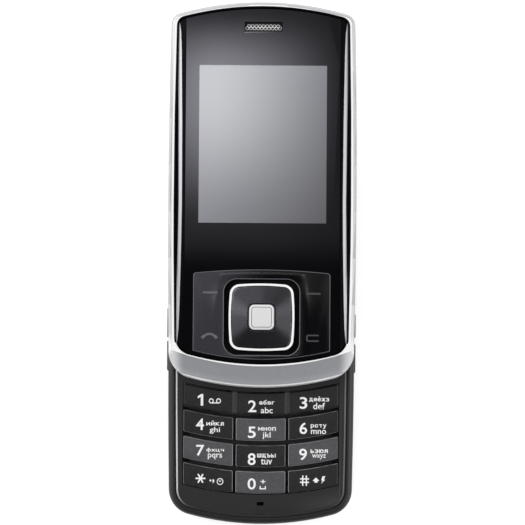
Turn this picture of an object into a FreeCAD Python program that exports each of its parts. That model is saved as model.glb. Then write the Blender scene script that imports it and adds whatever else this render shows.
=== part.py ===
import FreeCAD, Part
import math
import os
from collections import namedtuple

import Sketcher
from FreeCAD import Vector

# Slider phone, lying on its back with the slide open. X across, +Y along the length towards the
# earpiece, +Z out of the screen. The origin is the middle of the back, on the surface below it.
# Each half is drawn about its own centre, and its pieces are then moved half the travel along Y.

SIZES = {
    # The outline that both halves share, seen from the front
    "closed_length": 95.5,
    "body_width": 46.5,
    "side_bow": 0.5,
    "top_crown": 3.5,
    "bottom_crown": 3.8,
    "top_corner": 3.0,
    "bottom_corner": 6.5,
    "slide_travel": 34.0,
    # Clearances
    "running_gap": 0.3,
    "seat_gap": 0.05,
    "key_play": 0.15,
    "shoe_play": 0.1,
    # Lower half, from the back to the front
    "cover_thickness": 1.2,
    "battery_clearance": 0.1,
    "battery_thickness": 3.8,
    "bay_floor": 0.6,
    "board_thickness": 0.8,
    "dome_thickness": 0.2,
    "mat_thickness": 0.5,
    "key_travel": 0.4,
    "key_height": 2.0,
    "key_recess": 0.2,
    # Shells of the lower half
    "side_wall": 1.6,
    "face_thickness": 1.4,
    "back_wall": 1.2,
    "back_rounding": 1.6,
    "front_rounding": 1.2,
    "cover_from_top": 29.5,
    "cavity_from_top": 28.3,
    "trim_inset": 1.5,
    "trim_groove": 0.45,
    "trim_width": 0.4,
    "trim_depth": 0.6,
    "hollow_corner": 1.0,
    "least_corner": 0.6,
    # Battery, its contacts and the card holder
    "battery_width": 34.0,
    "battery_from_end": 8.4,
    "battery_from_top": 45.1,
    "battery_corner": 0.8,
    "contact_width": 7.2,
    "contact_depth": 1.9,
    "contact_height": 3.0,
    "sim_width": 15.0,
    "sim_length": 11.5,
    "sim_height": 1.5,
    "sim_side": 14.25,
    "sim_from_battery": 3.2,
    # Boards and cans
    "board_side_inset": 5.15,
    "board_inset": 3.0,
    "board_corner": 1.0,
    "can_side_gap": 2.25,
    "can_from_end": 36.0,
    "can_from_top": 12.5,
    "can_gap": 3.0,
    "can_clearance": 0.3,
    # Camera, loudspeaker, motor, microphone, aerial
    "camera_from_top": 13.5,
    "camera_side": 7.0,
    "camera_base_height": 3.2,
    "lens_radius": 2.4,
    "camera_window_radius": 3.5,
    "camera_window_thickness": 0.8,
    "camera_window_recess": 0.1,
    "speaker_side": 10.75,
    "speaker_from_top": 15.5,
    "speaker_radius": 5.6,
    "speaker_height": 4.0,
    "speaker_mesh_width": 9.0,
    "speaker_mesh_length": 4.0,
    "speaker_mesh_thickness": 0.4,
    "speaker_mesh_recess": 0.3,
    "motor_side": 10.75,
    "motor_from_top": 15.5,
    "motor_radius": 2.0,
    "motor_length": 9.0,
    "microphone_from_end": 5.1,
    "microphone_radius": 1.8,
    "microphone_height": 1.8,
    "microphone_slot_width": 1.7,
    "microphone_slot_length": 0.9,
    "aerial_width": 23.0,
    "aerial_depth": 3.4,
    "aerial_height": 3.0,
    "aerial_from_end": 3.5,
    # Number keys
    "keypad_margin": 3.9,
    "key_gap": 0.6,
    "row_pitch": 6.56,
    "row_gap": 1.0,
    "keypad_from_end": 7.5,
    "row_radius": 80.0,
    "key_rounding": 0.2,
    "key_corner": 0.4,
    "keypad_frame_gap": 0.15,
    # Side keys and their switches
    "side_key_height": 2.0,
    "side_key_play": 0.1,
    "side_key_proud": 0.35,
    "side_key_travel": 0.3,
    "side_key_flange": 0.6,
    "side_key_rounding": 0.3,
    "volume_from_end": 37.9,
    "volume_length": 16.0,
    "volume_notch": 0.9,
    "upper_side_key_from_end": 46.4,
    "upper_side_key_length": 6.3,
    "lower_side_key_from_end": 37.6,
    "lower_side_key_length": 7.5,
    "switch_depth": 3.4,
    "switch_length": 4.4,
    "switch_height": 1.6,
    # Screws
    "screw_head_radius": 1.3,
    "screw_head_height": 0.8,
    "screw_radius": 0.7,
    "screw_hole_gap": 0.08,
    "screw_boss_wall": 1.1,
    "case_screw_depth": 2.6,
    "low_screw_side": 5.75,
    "low_screw_from_end": 6.0,
    "high_screw_side": 3.15,
    "high_screw_from_end": 60.0,
    # Slide mechanism
    "guide_sheet": 0.6,
    "guide_sink": 0.2,
    "guide_side": 11.25,
    "guide_from_top": 5.5,
    "guide_from_plate": 3.0,
    "hook_reach": 1.6,
    "shoe_wall": 0.2,
    "shoe_side_wall": 0.8,
    "shoe_length": 8.0,
    "shoe_end": 1.0,
    "rail_sheet": 0.5,
    "rail_lift": 0.1,
    "rail_side_gap": 0.1,
    "rail_lip": 1.6,
    "slide_plate_side": 1.65,
    "slide_plate_from_end": 13.0,
    "slide_plate_from_top": 5.5,
    "channel_gap": 0.15,
    "channel_end_gap": 0.5,
    "plate_screw_side": 3.8,
    "plate_screw_end": 4.5,
    "plate_screw_head_radius": 1.2,
    "plate_screw_head_height": 0.35,
    "plate_screw_radius": 0.6,
    "spring_pin_from_top": 25.5,
    "base_pin_side": 2.6,
    "slide_pin_gap": 1.2,
    "pin_radius": 0.8,
    "pin_head_radius": 1.2,
    "pin_head_height": 0.25,
    "pin_head_gap": 0.15,
    "spring_wire": 0.6,
    "spring_wave": 1.1,
    "flex_width": 4.4,
    "flex_thickness": 0.15,
    "flex_clearance": 0.1,
    "flex_slack": 1.0,
    "flex_slot_play": 0.4,
    "flex_low_from_top": 9.0,
    "flex_high_from_top": 39.5,
    # Upper half, from the back to the front
    "rear_cover_thickness": 0.9,
    "rear_cover_rounding": 0.35,
    "upper_board_gap": 0.3,
    "upper_board_thickness": 0.5,
    "display_thickness": 2.4,
    "window_thickness": 1.3,
    "window_sink": 0.3,
    "deck_thickness": 0.9,
    # Rim, chin and window
    "frame_wall": 1.6,
    "frame_end_wall": 6.6,
    "frame_hollow_corner": 2.0,
    "rim_side": 1.75,
    "rim_top": 1.5,
    "chin_height": 5.95,
    "chin_step": 0.35,
    "chin_drop": 3.6,
    "chin_bulge": 0.35,
    "chin_land": 0.12,
    "rim_rounding": 0.9,
    "rim_chamfer": 0.4,
    "window_gap": 0.3,
    "window_top_corner": 2.0,
    "window_bottom_corner": 4.2,
    "facet_inset": 1.95,
    "facet_drop": 0.55,
    # Display, earpiece, upper board
    "display_width": 36.0,
    "display_from_end": 37.0,
    "display_from_top": 12.1,
    "display_gap": 0.15,
    "upper_board_side": 7.25,
    "upper_board_from_end": 9.0,
    "upper_board_from_top": 11.5,
    "earpiece_width": 11.0,
    "earpiece_length": 5.4,
    "earpiece_height": 2.0,
    "earpiece_from_top": 6.2,
    "slot_width": 9.4,
    "slot_length": 2.4,
    "slot_edge": 0.5,
    "mesh_thickness": 0.4,
    "mesh_play": 0.05,
    "slide_screw_side": 1.5,
    "slide_screw_from_end": 20.0,
    "slide_screw_from_top": 7.2,
    # Function keys
    "panel_side": 6.175,
    "panel_margin": 0.65,
    "panel_below": 1.3,
    "panel_above": 2.6,
    "panel_top_crown": 0.9,
    "panel_corner": 0.8,
    "panel_seam": 0.08,
    "panel_play": 0.12,
    "panel_lift": 0.4,
    "panel_recess": 0.1,
    "moat_side_gap": 1.1,
    "moat_end_gap": 0.9,
    "moat_corner": 3.2,
    "stem_radius": 1.0,
    "stem_hole_gap": 0.5,
    "stem_side": 4.375,
    "upper_stem_rise": 5.9,
    "lower_stem_drop": 4.8,
    "stem_clearance": 0.45,
    # Navigation key
    "nav_width": 16.4,
    "nav_length": 16.8,
    "nav_bulge": 0.45,
    "nav_corner": 2.6,
    "nav_proud": 0.1,
    "nav_lift": 0.65,
    "nav_ring_width": 0.75,
    "nav_ring_proud": 0.12,
    "nav_rounding": 0.25,
    "gimbal_radius": 3.9,
    "gimbal_height": 1.6,
    "gimbal_gap": 0.25,
    "gimbal_hole_gap": 0.9,
    "ok_travel": 0.3,
    "ok_side": 6.2,
    "ok_corner": 1.3,
    "ok_proud": 0.2,
    "ok_bevel": 0.45,
    "ok_play": 0.2,
    "ok_stem_radius": 1.0,
    "ok_stem_gap": 0.5,
}

# How far a cut runs past the face that it opens, where the thickness there is no guide
OVERCUT = "0.1"
WELL_CLEAR = "1"
# Waves in a slide spring, and the share of the room that the flexible cable's fold takes
SPRING_WAVES = 6
FOLD_SHARE = 0.9
# Two lengths closer than this are one, in millimetres
SAME = 1e-4
MOST_NODES = 60
FULL_TURN = 360

doc = FreeCAD.newDocument("slider_phone")
sheet = doc.addObject("Spreadsheet::Sheet", "Sizes")
for row, (alias, number) in enumerate(SIZES.items(), start=1):
    sheet.set(f"A{row}", alias)
    sheet.set(f"B{row}", str(number))
    sheet.setAlias(f"B{row}", alias)
doc.recompute()

# Levels, as expressions over the sheet. Each is the one below it plus what lies between.
HALF_LENGTH = "(Sizes.closed_length / 2)"
HALF_WIDTH = "(Sizes.body_width / 2)"
HALF_TRAVEL = "(Sizes.slide_travel / 2)"
COVER_SEAT = "(Sizes.cover_thickness + Sizes.seat_gap)"
BAY_CEILING = "(Sizes.cover_thickness + 2 * Sizes.battery_clearance + Sizes.battery_thickness)"
PARTING = f"({BAY_CEILING} + Sizes.bay_floor)"
BOARD_BOTTOM = f"({PARTING} + Sizes.seat_gap)"
BOARD_TOP = f"({BOARD_BOTTOM} + Sizes.board_thickness)"
DOME_TOP = f"({BOARD_TOP} + Sizes.dome_thickness)"
MAT_TOP = f"({DOME_TOP} + Sizes.mat_thickness)"
KEY_BOTTOM = f"({MAT_TOP} + Sizes.key_travel + Sizes.seat_gap)"
KEY_TOP = f"({KEY_BOTTOM} + Sizes.key_height)"
LOWER_TOP = f"({KEY_TOP} + Sizes.key_recess)"
CEILING = f"({LOWER_TOP} - Sizes.face_thickness)"
GUIDE_TOP = f"({LOWER_TOP} - Sizes.guide_sink)"
GUIDE_BOTTOM = f"({GUIDE_TOP} - Sizes.guide_sheet)"

UPPER_BOTTOM = f"({LOWER_TOP} + Sizes.running_gap)"
FRAME_BOTTOM = f"({UPPER_BOTTOM} + Sizes.rear_cover_thickness)"
LIP_BOTTOM = f"({UPPER_BOTTOM} + Sizes.rail_lift)"
LIP_TOP = f"({LIP_BOTTOM} + Sizes.rail_sheet)"
SHOE_BOTTOM = f"({LIP_TOP} + Sizes.shoe_play)"
HOOK_BOTTOM = f"({SHOE_BOTTOM} + Sizes.shoe_wall)"
HOOK_TOP = f"({HOOK_BOTTOM} + Sizes.guide_sheet)"
SHOE_TOP = f"({HOOK_TOP} + Sizes.shoe_wall)"
PLATE_BOTTOM = f"({SHOE_TOP} + Sizes.shoe_play)"
PLATE_TOP = f"({PLATE_BOTTOM} + Sizes.rail_sheet)"
UPPER_BOARD_BOTTOM = f"({PLATE_TOP} + Sizes.upper_board_gap)"
UPPER_BOARD_TOP = f"({UPPER_BOARD_BOTTOM} + Sizes.upper_board_thickness)"
DISPLAY_BOTTOM = f"({UPPER_BOARD_TOP} + Sizes.seat_gap)"
DISPLAY_TOP = f"({DISPLAY_BOTTOM} + Sizes.display_thickness)"
DECK_TOP = f"({DISPLAY_TOP} + Sizes.seat_gap)"
DECK_BOTTOM = f"({DECK_TOP} - Sizes.deck_thickness)"
WINDOW_TOP = f"({DECK_TOP} + Sizes.window_thickness)"
RIM_TOP = f"({WINDOW_TOP} + Sizes.window_sink)"

# Places across the width, from the middle
SIDE = f"({HALF_WIDTH} - Sizes.side_bow)"
GUIDE_HALF = f"({HALF_WIDTH} - Sizes.guide_side)"
HOOK_OUT = f"({GUIDE_HALF} + Sizes.hook_reach)"
SHOE_OUT = f"({HOOK_OUT} + Sizes.shoe_side_wall)"
RAIL_IN = f"({SHOE_OUT} + Sizes.rail_side_gap)"
RAIL_OUT = f"({RAIL_IN} + Sizes.rail_sheet)"
CHANNEL_HALF = f"({RAIL_OUT} + Sizes.channel_gap)"
BASE_PIN_X = f"({GUIDE_HALF} - Sizes.base_pin_side)"
SLIDE_PIN_X = "(Sizes.flex_width / 2 + Sizes.slide_pin_gap + Sizes.pin_head_radius)"
PLATE_HALF = f"({SIDE} - Sizes.frame_wall - Sizes.slide_plate_side)"
SLIDE_SCREW_X = f"({PLATE_HALF} - Sizes.slide_screw_side)"
BOARD_HALF = f"({SIDE} - Sizes.board_side_inset)"
UPPER_BOARD_HALF = f"({HALF_WIDTH} - Sizes.upper_board_side)"
SIM_X = f"(Sizes.sim_side - {SIDE})"
SPEAKER_X = f"({HALF_WIDTH} - Sizes.speaker_side)"
MOTOR_X = f"({HALF_WIDTH} - Sizes.motor_side)"
KEYPAD_HALF = f"({HALF_WIDTH} - Sizes.keypad_margin)"
KEY_WIDTH = f"(2 * ({KEYPAD_HALF} - Sizes.key_gap) / 3)"
PANEL_HALF = f"({HALF_WIDTH} - Sizes.panel_side)"
STEM_X = f"({PANEL_HALF} - Sizes.stem_side)"


def from_end(distance):
    """Place along Y of a point this far from the lower end of its half."""
    return f"({distance} - {HALF_LENGTH})"


def from_top(size):
    """Place along Y of a point that lies this size from the upper end of its half."""
    return f"({HALF_LENGTH} - Sizes.{size})"


# Places along the length, from each half's own centre
BATTERY_LOW = from_end("Sizes.battery_from_end")
BATTERY_HIGH = from_top("battery_from_top")
BAY_HIGH = f"({BATTERY_HIGH} + Sizes.battery_clearance)"
COVER_END = from_top("cover_from_top")
BASE_PIN_Y = from_top("spring_pin_from_top")
SLIDE_PIN_Y = f"({BASE_PIN_Y} - {HALF_TRAVEL})"
PANEL_LOW = from_end("(Sizes.chin_height + Sizes.window_gap + Sizes.panel_margin)")
NAV_LOW = f"({PANEL_LOW} + Sizes.panel_below + Sizes.moat_end_gap)"
NAV_Y = f"({NAV_LOW} + Sizes.nav_length / 2)"
PANEL_HIGH = f"({NAV_LOW} + Sizes.nav_length + Sizes.moat_end_gap + Sizes.panel_above)"


def value(expression):
    """The number that an expression over the sheet gives."""
    return float(sheet.evalExpression(expression))


# ---------------------------------------------------------------- bodies, sketches, features


def new_body(label, half):
    """A body moved along Y with the half of the phone that it belongs to."""
    body = doc.addObject("PartDesign::Body", label)
    body.Label = label
    sign = {"lower": "-", "upper": ""}[half]
    body.setExpression("Placement.Base.y", f"{sign}{HALF_TRAVEL}")
    return body


def sketch_on(body, role, offset="0", along="0"):
    """A sketch on one of the body's own origin planes, moved along its normal and its X axis."""
    plane = next(item for item in body.Origin.OriginFeatures if item.Role == role)
    sketch = body.newObject("Sketcher::SketchObject", f"{body.Label}_sketch")
    sketch.AttachmentSupport = (plane, [""])
    sketch.MapMode = "FlatFace"
    sketch.setExpression("AttachmentOffset.Base.z", offset)
    sketch.setExpression("AttachmentOffset.Base.x", along)
    return sketch


def bind(sketch, kind, *where, to):
    """A constraint whose value is an expression over the sheet."""
    index = sketch.addConstraint(Sketcher.Constraint(kind, *where, value(to)))
    sketch.setExpression(f"Constraints[{index}]", to)


def place(sketch, geometry, end, point):
    bind(sketch, "DistanceX", -1, 1, geometry, end, to=point[0])
    bind(sketch, "DistanceY", -1, 1, geometry, end, to=point[1])


def at(point):
    return Vector(value(point[0]), value(point[1]), 0)


def draw_polygon(sketch, points):
    first = sketch.GeometryCount
    count = len(points)
    for index, point in enumerate(points):
        sketch.addGeometry(Part.LineSegment(at(point), at(points[(index + 1) % count])), False)
    for index, point in enumerate(points):
        after = first + (index + 1) % count
        sketch.addConstraint(Sketcher.Constraint("Coincident", first + index, 2, after, 1))
        place(sketch, first + index, 1, point)


def draw_rectangle(sketch, left, right, low, high):
    draw_polygon(sketch, [(left, low), (right, low), (right, high), (left, high)])


def draw_circle(sketch, x, y, radius):
    geometry = sketch.GeometryCount
    sketch.addGeometry(Part.Circle(at((x, y)), Vector(0, 0, 1), value(radius)), False)
    place(sketch, geometry, 3, (x, y))
    bind(sketch, "Radius", geometry, to=radius)


def draw_arc(sketch, start, middle, end, radius):
    """An arc that runs anticlockwise from start to end, with its radius bound."""
    geometry = sketch.GeometryCount
    sketch.addGeometry(Part.Arc(at(start), at(middle), at(end)), False)
    bind(sketch, "Radius", geometry, to=radius)
    return geometry


Outline = namedtuple(
    "Outline", "side bow top bottom top_crown bottom_crown top_corner bottom_corner"
)


def outline(side, top, bottom, top_corner=None, bottom_corner=None):
    """The shared outline moved in from its sides and ends, as expressions over the sheet."""
    inner = f"({SIDE} - {side})"
    share = f"({inner} / {SIDE}) ^ 2"
    return Outline(
        side=inner,
        bow="Sizes.side_bow",
        top=f"({HALF_LENGTH} - {top})",
        bottom=f"({bottom} - {HALF_LENGTH})",
        top_crown=f"(Sizes.top_crown * {share})",
        bottom_crown=f"(Sizes.bottom_crown * {share})",
        top_corner=top_corner or f"max(Sizes.top_corner - {side}; Sizes.least_corner)",
        bottom_corner=bottom_corner or f"max(Sizes.bottom_corner - {side}; Sizes.least_corner)",
    )


def sagitta_radius(half_chord, height):
    return f"(({half_chord}) ^ 2 + ({height}) ^ 2) / (2 * {height})"


def corner_centre(one, two, radius, sharp):
    """Centre of the small arc that touches two arcs from inside, nearest to their sharp corner."""
    (first, first_radius), (second, second_radius) = one, two
    reach, other = first_radius - radius, second_radius - radius
    gap = second - first
    distance = gap.Length
    along = (reach**2 - other**2 + distance**2) / (2 * distance)
    across = math.sqrt(reach**2 - along**2)
    gap.normalize()
    normal = Vector(-gap.y, gap.x, 0)
    choices = [first + gap * along + normal * (sign * across) for sign in (1, -1)]
    return min(choices, key=lambda point: (point - sharp).Length)


def draw_outline(sketch, shape):
    """Bowed sides and crowned ends, joined by four corner arcs that touch them."""
    left = f"(-{shape.side})"
    upper = f"({shape.top} - {shape.top_crown})"
    lower = f"({shape.bottom} + {shape.bottom_crown})"
    middle_y = f"(({upper} + {lower}) / 2)"
    side_radius = sagitta_radius(f"({upper} - {lower}) / 2", shape.bow)
    low_radius = sagitta_radius(shape.side, shape.bottom_crown)
    top_radius = sagitta_radius(shape.side, shape.top_crown)
    bulge = f"({shape.side} + {shape.bow} - ({side_radius}))"
    # Each long arc has a centre, a radius, the sharp corner that it ends at and that corner's radius
    arcs = [
        ((f"(-{bulge})", middle_y), side_radius, (left, lower), shape.bottom_corner),
        (("0", f"({shape.bottom} + {low_radius})"), low_radius, (shape.side, lower), shape.bottom_corner),
        ((bulge, middle_y), side_radius, (shape.side, upper), shape.top_corner),
        (("0", f"({shape.top} - ({top_radius}))"), top_radius, (left, upper), shape.top_corner),
    ]
    circles = [(at(centre), value(radius)) for centre, radius, _, _ in arcs]
    touches = []
    for index, (_, _, sharp, corner) in enumerate(arcs):
        one, two = circles[index], circles[(index + 1) % 4]
        radius = value(corner)
        centre = corner_centre(one, two, radius, at(sharp))
        ends = [centre + (centre - arc[0]).normalize() * radius for arc in (one, two)]
        touches.append((centre, radius, ends))
    first = sketch.GeometryCount
    for index, (centre, radius, _, _) in enumerate(arcs):
        start = touches[index - 1][2][1]
        end = touches[index][2][0]
        chord = (start + end) * 0.5
        hub, reach = circles[index]
        middle = hub + (chord - hub).normalize() * reach
        sketch.addGeometry(Part.Arc(start, middle, end), False)
        hub, reach, ends = touches[index]
        middle = hub + ((ends[0] + ends[1]) * 0.5 - hub).normalize() * reach
        sketch.addGeometry(Part.Arc(ends[0], middle, ends[1]), False)
        place(sketch, first + 2 * index, 3, centre)
        bind(sketch, "Radius", first + 2 * index, to=radius)
        bind(sketch, "Radius", first + 2 * index + 1, to=arcs[index][3])
    for index in range(8):
        after = first + (index + 1) % 8
        sketch.addConstraint(Sketcher.Constraint("Tangent", first + index, 2, after, 1))


def draw_cell(sketch, left, right, low, high, radius):
    """Upright sides between two arcs that sag in the middle, as the rows of keys do."""

    def rise(x, y):
        return f"({y} + {radius} - sqrt(({radius}) ^ 2 - ({x}) ^ 2))"

    middle = f"(({left} + {right}) / 2)"
    first = sketch.GeometryCount
    a, d = (left, rise(left, high)), (left, rise(left, low))
    b, c = (right, rise(right, high)), (right, rise(right, low))
    sketch.addGeometry(Part.LineSegment(at(a), at(d)), False)
    draw_arc(sketch, d, (middle, rise(middle, low)), c, radius)
    sketch.addGeometry(Part.LineSegment(at(c), at(b)), False)
    draw_arc(sketch, a, (middle, rise(middle, high)), b, radius)
    joints = [(0, 2, 1, 1), (1, 2, 2, 1), (2, 2, 3, 2), (3, 1, 0, 1)]
    for one, end, other, start in joints:
        sketch.addConstraint(Sketcher.Constraint("Coincident", first + one, end, first + other, start))
    for geometry, point in ((0, a), (1, d), (2, c)):
        place(sketch, first + geometry, 1, point)
    place(sketch, first + 2, 2, b)
    return [a, b, c, d]


def add(body, kind, sketch=None):
    feature = body.newObject(f"PartDesign::{kind}", f"{body.Label}_{kind.lower()}")
    if sketch is not None:
        feature.Profile = sketch
    return feature


def pad(body, sketch, length, reverse=False):
    feature = add(body, "Pad", sketch)
    feature.setExpression("Length", length)
    feature.Reversed = reverse
    doc.recompute()
    return feature


def cut(body, sketch, depth, upward=False):
    """A pocket below the sketch's plane, or above it if upward. It has to remove something."""
    before = body.Tip.Shape.Volume
    feature = add(body, "Pocket", sketch)
    feature.setExpression("Length", depth)
    feature.Reversed = upward
    doc.recompute()
    if feature.Shape.isNull() or feature.Shape.Volume > before - SAME:
        raise RuntimeError(f"{feature.Name} removed nothing")
    return feature


def edges_where(body, test):
    edges = body.Tip.Shape.Edges
    return [f"Edge{index}" for index, edge in enumerate(edges, start=1) if test(edge)]


def soften(body, kind, names, size_property, size):
    """A fillet or a chamfer on the named edges of the body's last feature."""
    if not names:
        raise RuntimeError(f"{body.Label} has no edge to {kind.lower()}")
    base = body.Tip
    feature = add(body, kind)
    feature.Base = (base, names)
    feature.setExpression(size_property, size)
    doc.recompute()
    return feature


def round_edges(body, names, radius):
    return soften(body, "Fillet", names, "Radius", radius)


def bevel_edges(body, names, size):
    return soften(body, "Chamfer", names, "Size", size)


def upright_edges(body, points):
    """Edges along Z that stand at any of these points."""
    places = [at(point) for point in points]

    def test(edge):
        if len(edge.Vertexes) != 2:
            return False
        a, b = (vertex.Point for vertex in edge.Vertexes)
        if math.hypot(a.x - b.x, a.y - b.y) > SAME:
            return False
        return any(math.hypot(a.x - p.x, a.y - p.y) < SAME for p in places)

    return edges_where(body, test)


def level_edges(body, level, inside=None):
    """Edges that lie flat at a level, and inside a box given as half width, low and high."""
    height = value(level)
    box = [value(limit) for limit in inside] if inside else None

    def test(edge):
        points = edge.discretize(5)
        if any(abs(point.z - height) > SAME for point in points):
            return False
        if box is None:
            return True
        half, low, high = box
        return all(abs(p.x) <= half and low <= p.y <= high for p in points)

    return edges_where(body, test)


def outline_pad(body, shape, floor, height):
    sketch = sketch_on(body, "XY_Plane", floor)
    draw_outline(sketch, shape)
    pad(body, sketch, height)


def outline_cut(body, shape, floor, height):
    """A pocket with the shared outline, from floor upward."""
    sketch = sketch_on(body, "XY_Plane", floor)
    draw_outline(sketch, shape)
    cut(body, sketch, height, upward=True)


def box_pad(body, left, right, low, high, floor, height):
    sketch = sketch_on(body, "XY_Plane", floor)
    draw_rectangle(sketch, left, right, low, high)
    pad(body, sketch, height)
    return [(left, low), (right, low), (right, high), (left, high)]


def box_cut(body, left, right, low, high, floor, height):
    sketch = sketch_on(body, "XY_Plane", floor)
    draw_rectangle(sketch, left, right, low, high)
    cut(body, sketch, height, upward=True)


def post_pad(body, x, y, radius, floor, height):
    sketch = sketch_on(body, "XY_Plane", floor)
    draw_circle(sketch, x, y, radius)
    pad(body, sketch, height)


def hole_cut(body, x, y, radius, floor, height):
    sketch = sketch_on(body, "XY_Plane", floor)
    draw_circle(sketch, x, y, radius)
    cut(body, sketch, height, upward=True)


def rail_pad(body, points, start, length):
    """A section in X and Z, drawn out along +Y from start."""
    sketch = sketch_on(body, "XZ_Plane", f"-({start} + {length})")
    draw_polygon(sketch, points)
    pad(body, sketch, length)


def mirrored(points, sign):
    """The same section on the left or on the right side, wound the same way."""
    turned = [(f"({sign} * {x})", z) for x, z in points]
    return turned if sign == "1" else turned[::-1]


SIDES = ("-1", "1")
FULL = outline("0", "0", "0")


def half_of(size):
    return f"(Sizes.{size} / 2)"


# ---------------------------------------------------------------- lower half: shells


CASE_SCREWS = [
    (f"({sign} * ({SIDE} - Sizes.{end}_screw_side))", from_end(f"Sizes.{end}_screw_from_end"))
    for end in ("low", "high")
    for sign in SIDES
]
SCREW_BORE = "(Sizes.screw_radius + Sizes.screw_hole_gap)"
HEAD_BORE = "(Sizes.screw_head_radius + 2 * Sizes.screw_hole_gap)"
BOSS_RADIUS = f"({SCREW_BORE} + Sizes.screw_boss_wall)"
CAMERA_Y = from_top("camera_from_top")
SPEAKER_Y = from_top("speaker_from_top")
SIM_LOW = f"({BATTERY_HIGH} + Sizes.sim_from_battery)"
CAVITY_LOW = "(Sizes.closed_length - Sizes.cavity_from_top)"


def make_rear_case():
    body = new_body("rear_case", "lower")
    outline_pad(body, FULL, "0", PARTING)
    round_edges(body, level_edges(body, "0"), "Sizes.back_rounding")
    # Step that the battery cover fills
    edge = f"({COVER_END} + Sizes.key_play)"
    wide, far = "Sizes.body_width", "Sizes.closed_length"
    box_cut(body, f"(-{wide})", wide, f"(-{far})", edge, "0", COVER_SEAT)
    # Battery bay with room for the contacts, open to the back
    reach = f"({half_of('battery_width')} + Sizes.battery_clearance)"
    low = f"({BATTERY_LOW} - Sizes.battery_clearance)"
    box_cut(body, f"(-{reach})", reach, low, BAY_HIGH, "0", BAY_CEILING)
    room = f"({half_of('contact_width')} + Sizes.battery_clearance)"
    end = f"({BAY_HIGH} + Sizes.contact_depth + Sizes.battery_clearance)"
    box_cut(body, f"(-{room})", room, BATTERY_HIGH, end, "0", BAY_CEILING)
    # Window for the card holder on the underside of the board
    middle, half, gap = SIM_X, half_of("sim_width"), "Sizes.battery_clearance"
    left, right = f"({middle} - {half} - {gap})", f"({middle} + {half} + {gap})"
    high = f"({SIM_LOW} + Sizes.sim_length + {gap})"
    box_cut(body, left, right, f"({SIM_LOW} - {gap})", high, "0", PARTING)
    # Room at the upper end for the camera, loudspeaker and motor, and at the lower end for the aerial
    wall = "Sizes.side_wall"
    hollow = outline(wall, wall, CAVITY_LOW, bottom_corner="Sizes.hollow_corner")
    outline_cut(body, hollow, "Sizes.back_wall", f"({PARTING} - Sizes.back_wall)")
    half = f"({half_of('aerial_width')} + Sizes.battery_clearance)"
    low = from_end("(Sizes.aerial_from_end - Sizes.battery_clearance)")
    high = from_end("(Sizes.aerial_from_end + Sizes.aerial_depth + Sizes.battery_clearance)")
    depth = "(Sizes.aerial_height + 2 * Sizes.seat_gap)"
    box_cut(body, f"(-{half})", half, low, high, f"({PARTING} - {depth})", depth)
    # Openings in the back for the camera window and the loudspeaker
    through_back = f"(Sizes.back_wall + {OVERCUT})"
    hole_cut(body, "0", CAMERA_Y, "(Sizes.camera_window_radius + Sizes.seat_gap)", "0", CAMERA_SEAT)
    hole_cut(body, "0", CAMERA_Y, "(Sizes.lens_radius + Sizes.seat_gap)", "0", through_back)
    half = f"({half_of('speaker_mesh_width')} + Sizes.seat_gap)"
    reach = f"({half_of('speaker_mesh_length')} + Sizes.seat_gap)"
    left, right = f"({SPEAKER_X} - {half})", f"({SPEAKER_X} + {half})"
    low, high = f"({SPEAKER_Y} - {reach})", f"({SPEAKER_Y} + {reach})"
    box_cut(body, left, right, low, high, "0", through_back)
    for x, y in CASE_SCREWS:
        hole_cut(body, x, y, HEAD_BORE, "0", "Sizes.case_screw_depth")
        hole_cut(body, x, y, SCREW_BORE, "0", PARTING)
    return body


CAMERA_SEAT = "(Sizes.camera_window_recess + Sizes.camera_window_thickness)"


def make_battery_cover():
    body = new_body("battery_cover", "lower")
    outline_pad(body, FULL, "0", PARTING)
    round_edges(body, level_edges(body, "0"), "Sizes.back_rounding")
    wide, far = "Sizes.body_width", "Sizes.closed_length"
    box_cut(body, f"(-{wide})", wide, f"(-{far})", far, "Sizes.cover_thickness", PARTING)
    box_cut(body, f"(-{wide})", wide, COVER_END, far, "0", "Sizes.cover_thickness")
    return body


KEYPAD_LOW = from_end("Sizes.keypad_from_end")
KEYPAD_HIGH = f"({KEYPAD_LOW} + 4 * Sizes.row_pitch - Sizes.row_gap)"
GUIDE_HIGH = from_top("guide_from_top")
GUIDE_LOW = from_end("(Sizes.slide_travel + Sizes.slide_plate_from_end + Sizes.guide_from_plate)")
FLEX_LOW_END = from_top("flex_low_from_top")
FLEX_SLOT = f"({half_of('flex_width')} + Sizes.flex_slot_play)"
SIDE_KEY_LOW = f"({PARTING} + 2 * Sizes.seat_gap + Sizes.side_key_flange / 2)"
SIDE_KEYS = {
    "volume_key": ("-1", "Sizes.volume_from_end", "Sizes.volume_length"),
    "upper_side_key": ("1", "Sizes.upper_side_key_from_end", "Sizes.upper_side_key_length"),
    "lower_side_key": ("1", "Sizes.lower_side_key_from_end", "Sizes.lower_side_key_length"),
}


def trim_outline(inset):
    return outline(inset, inset, inset)


def ring_sketch(body, level, outer, inner):
    """Sketch of the band between two outlines."""
    sketch = sketch_on(body, "XY_Plane", level)
    draw_outline(sketch, outer)
    draw_outline(sketch, inner)
    return sketch


GROOVE_END = "(Sizes.trim_inset + Sizes.trim_groove + Sizes.trim_width)"
GROOVE_FLOOR = f"({LOWER_TOP} - Sizes.trim_depth)"
UNDER_CEILING = f"({CEILING} - {OVERCUT})"


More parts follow.
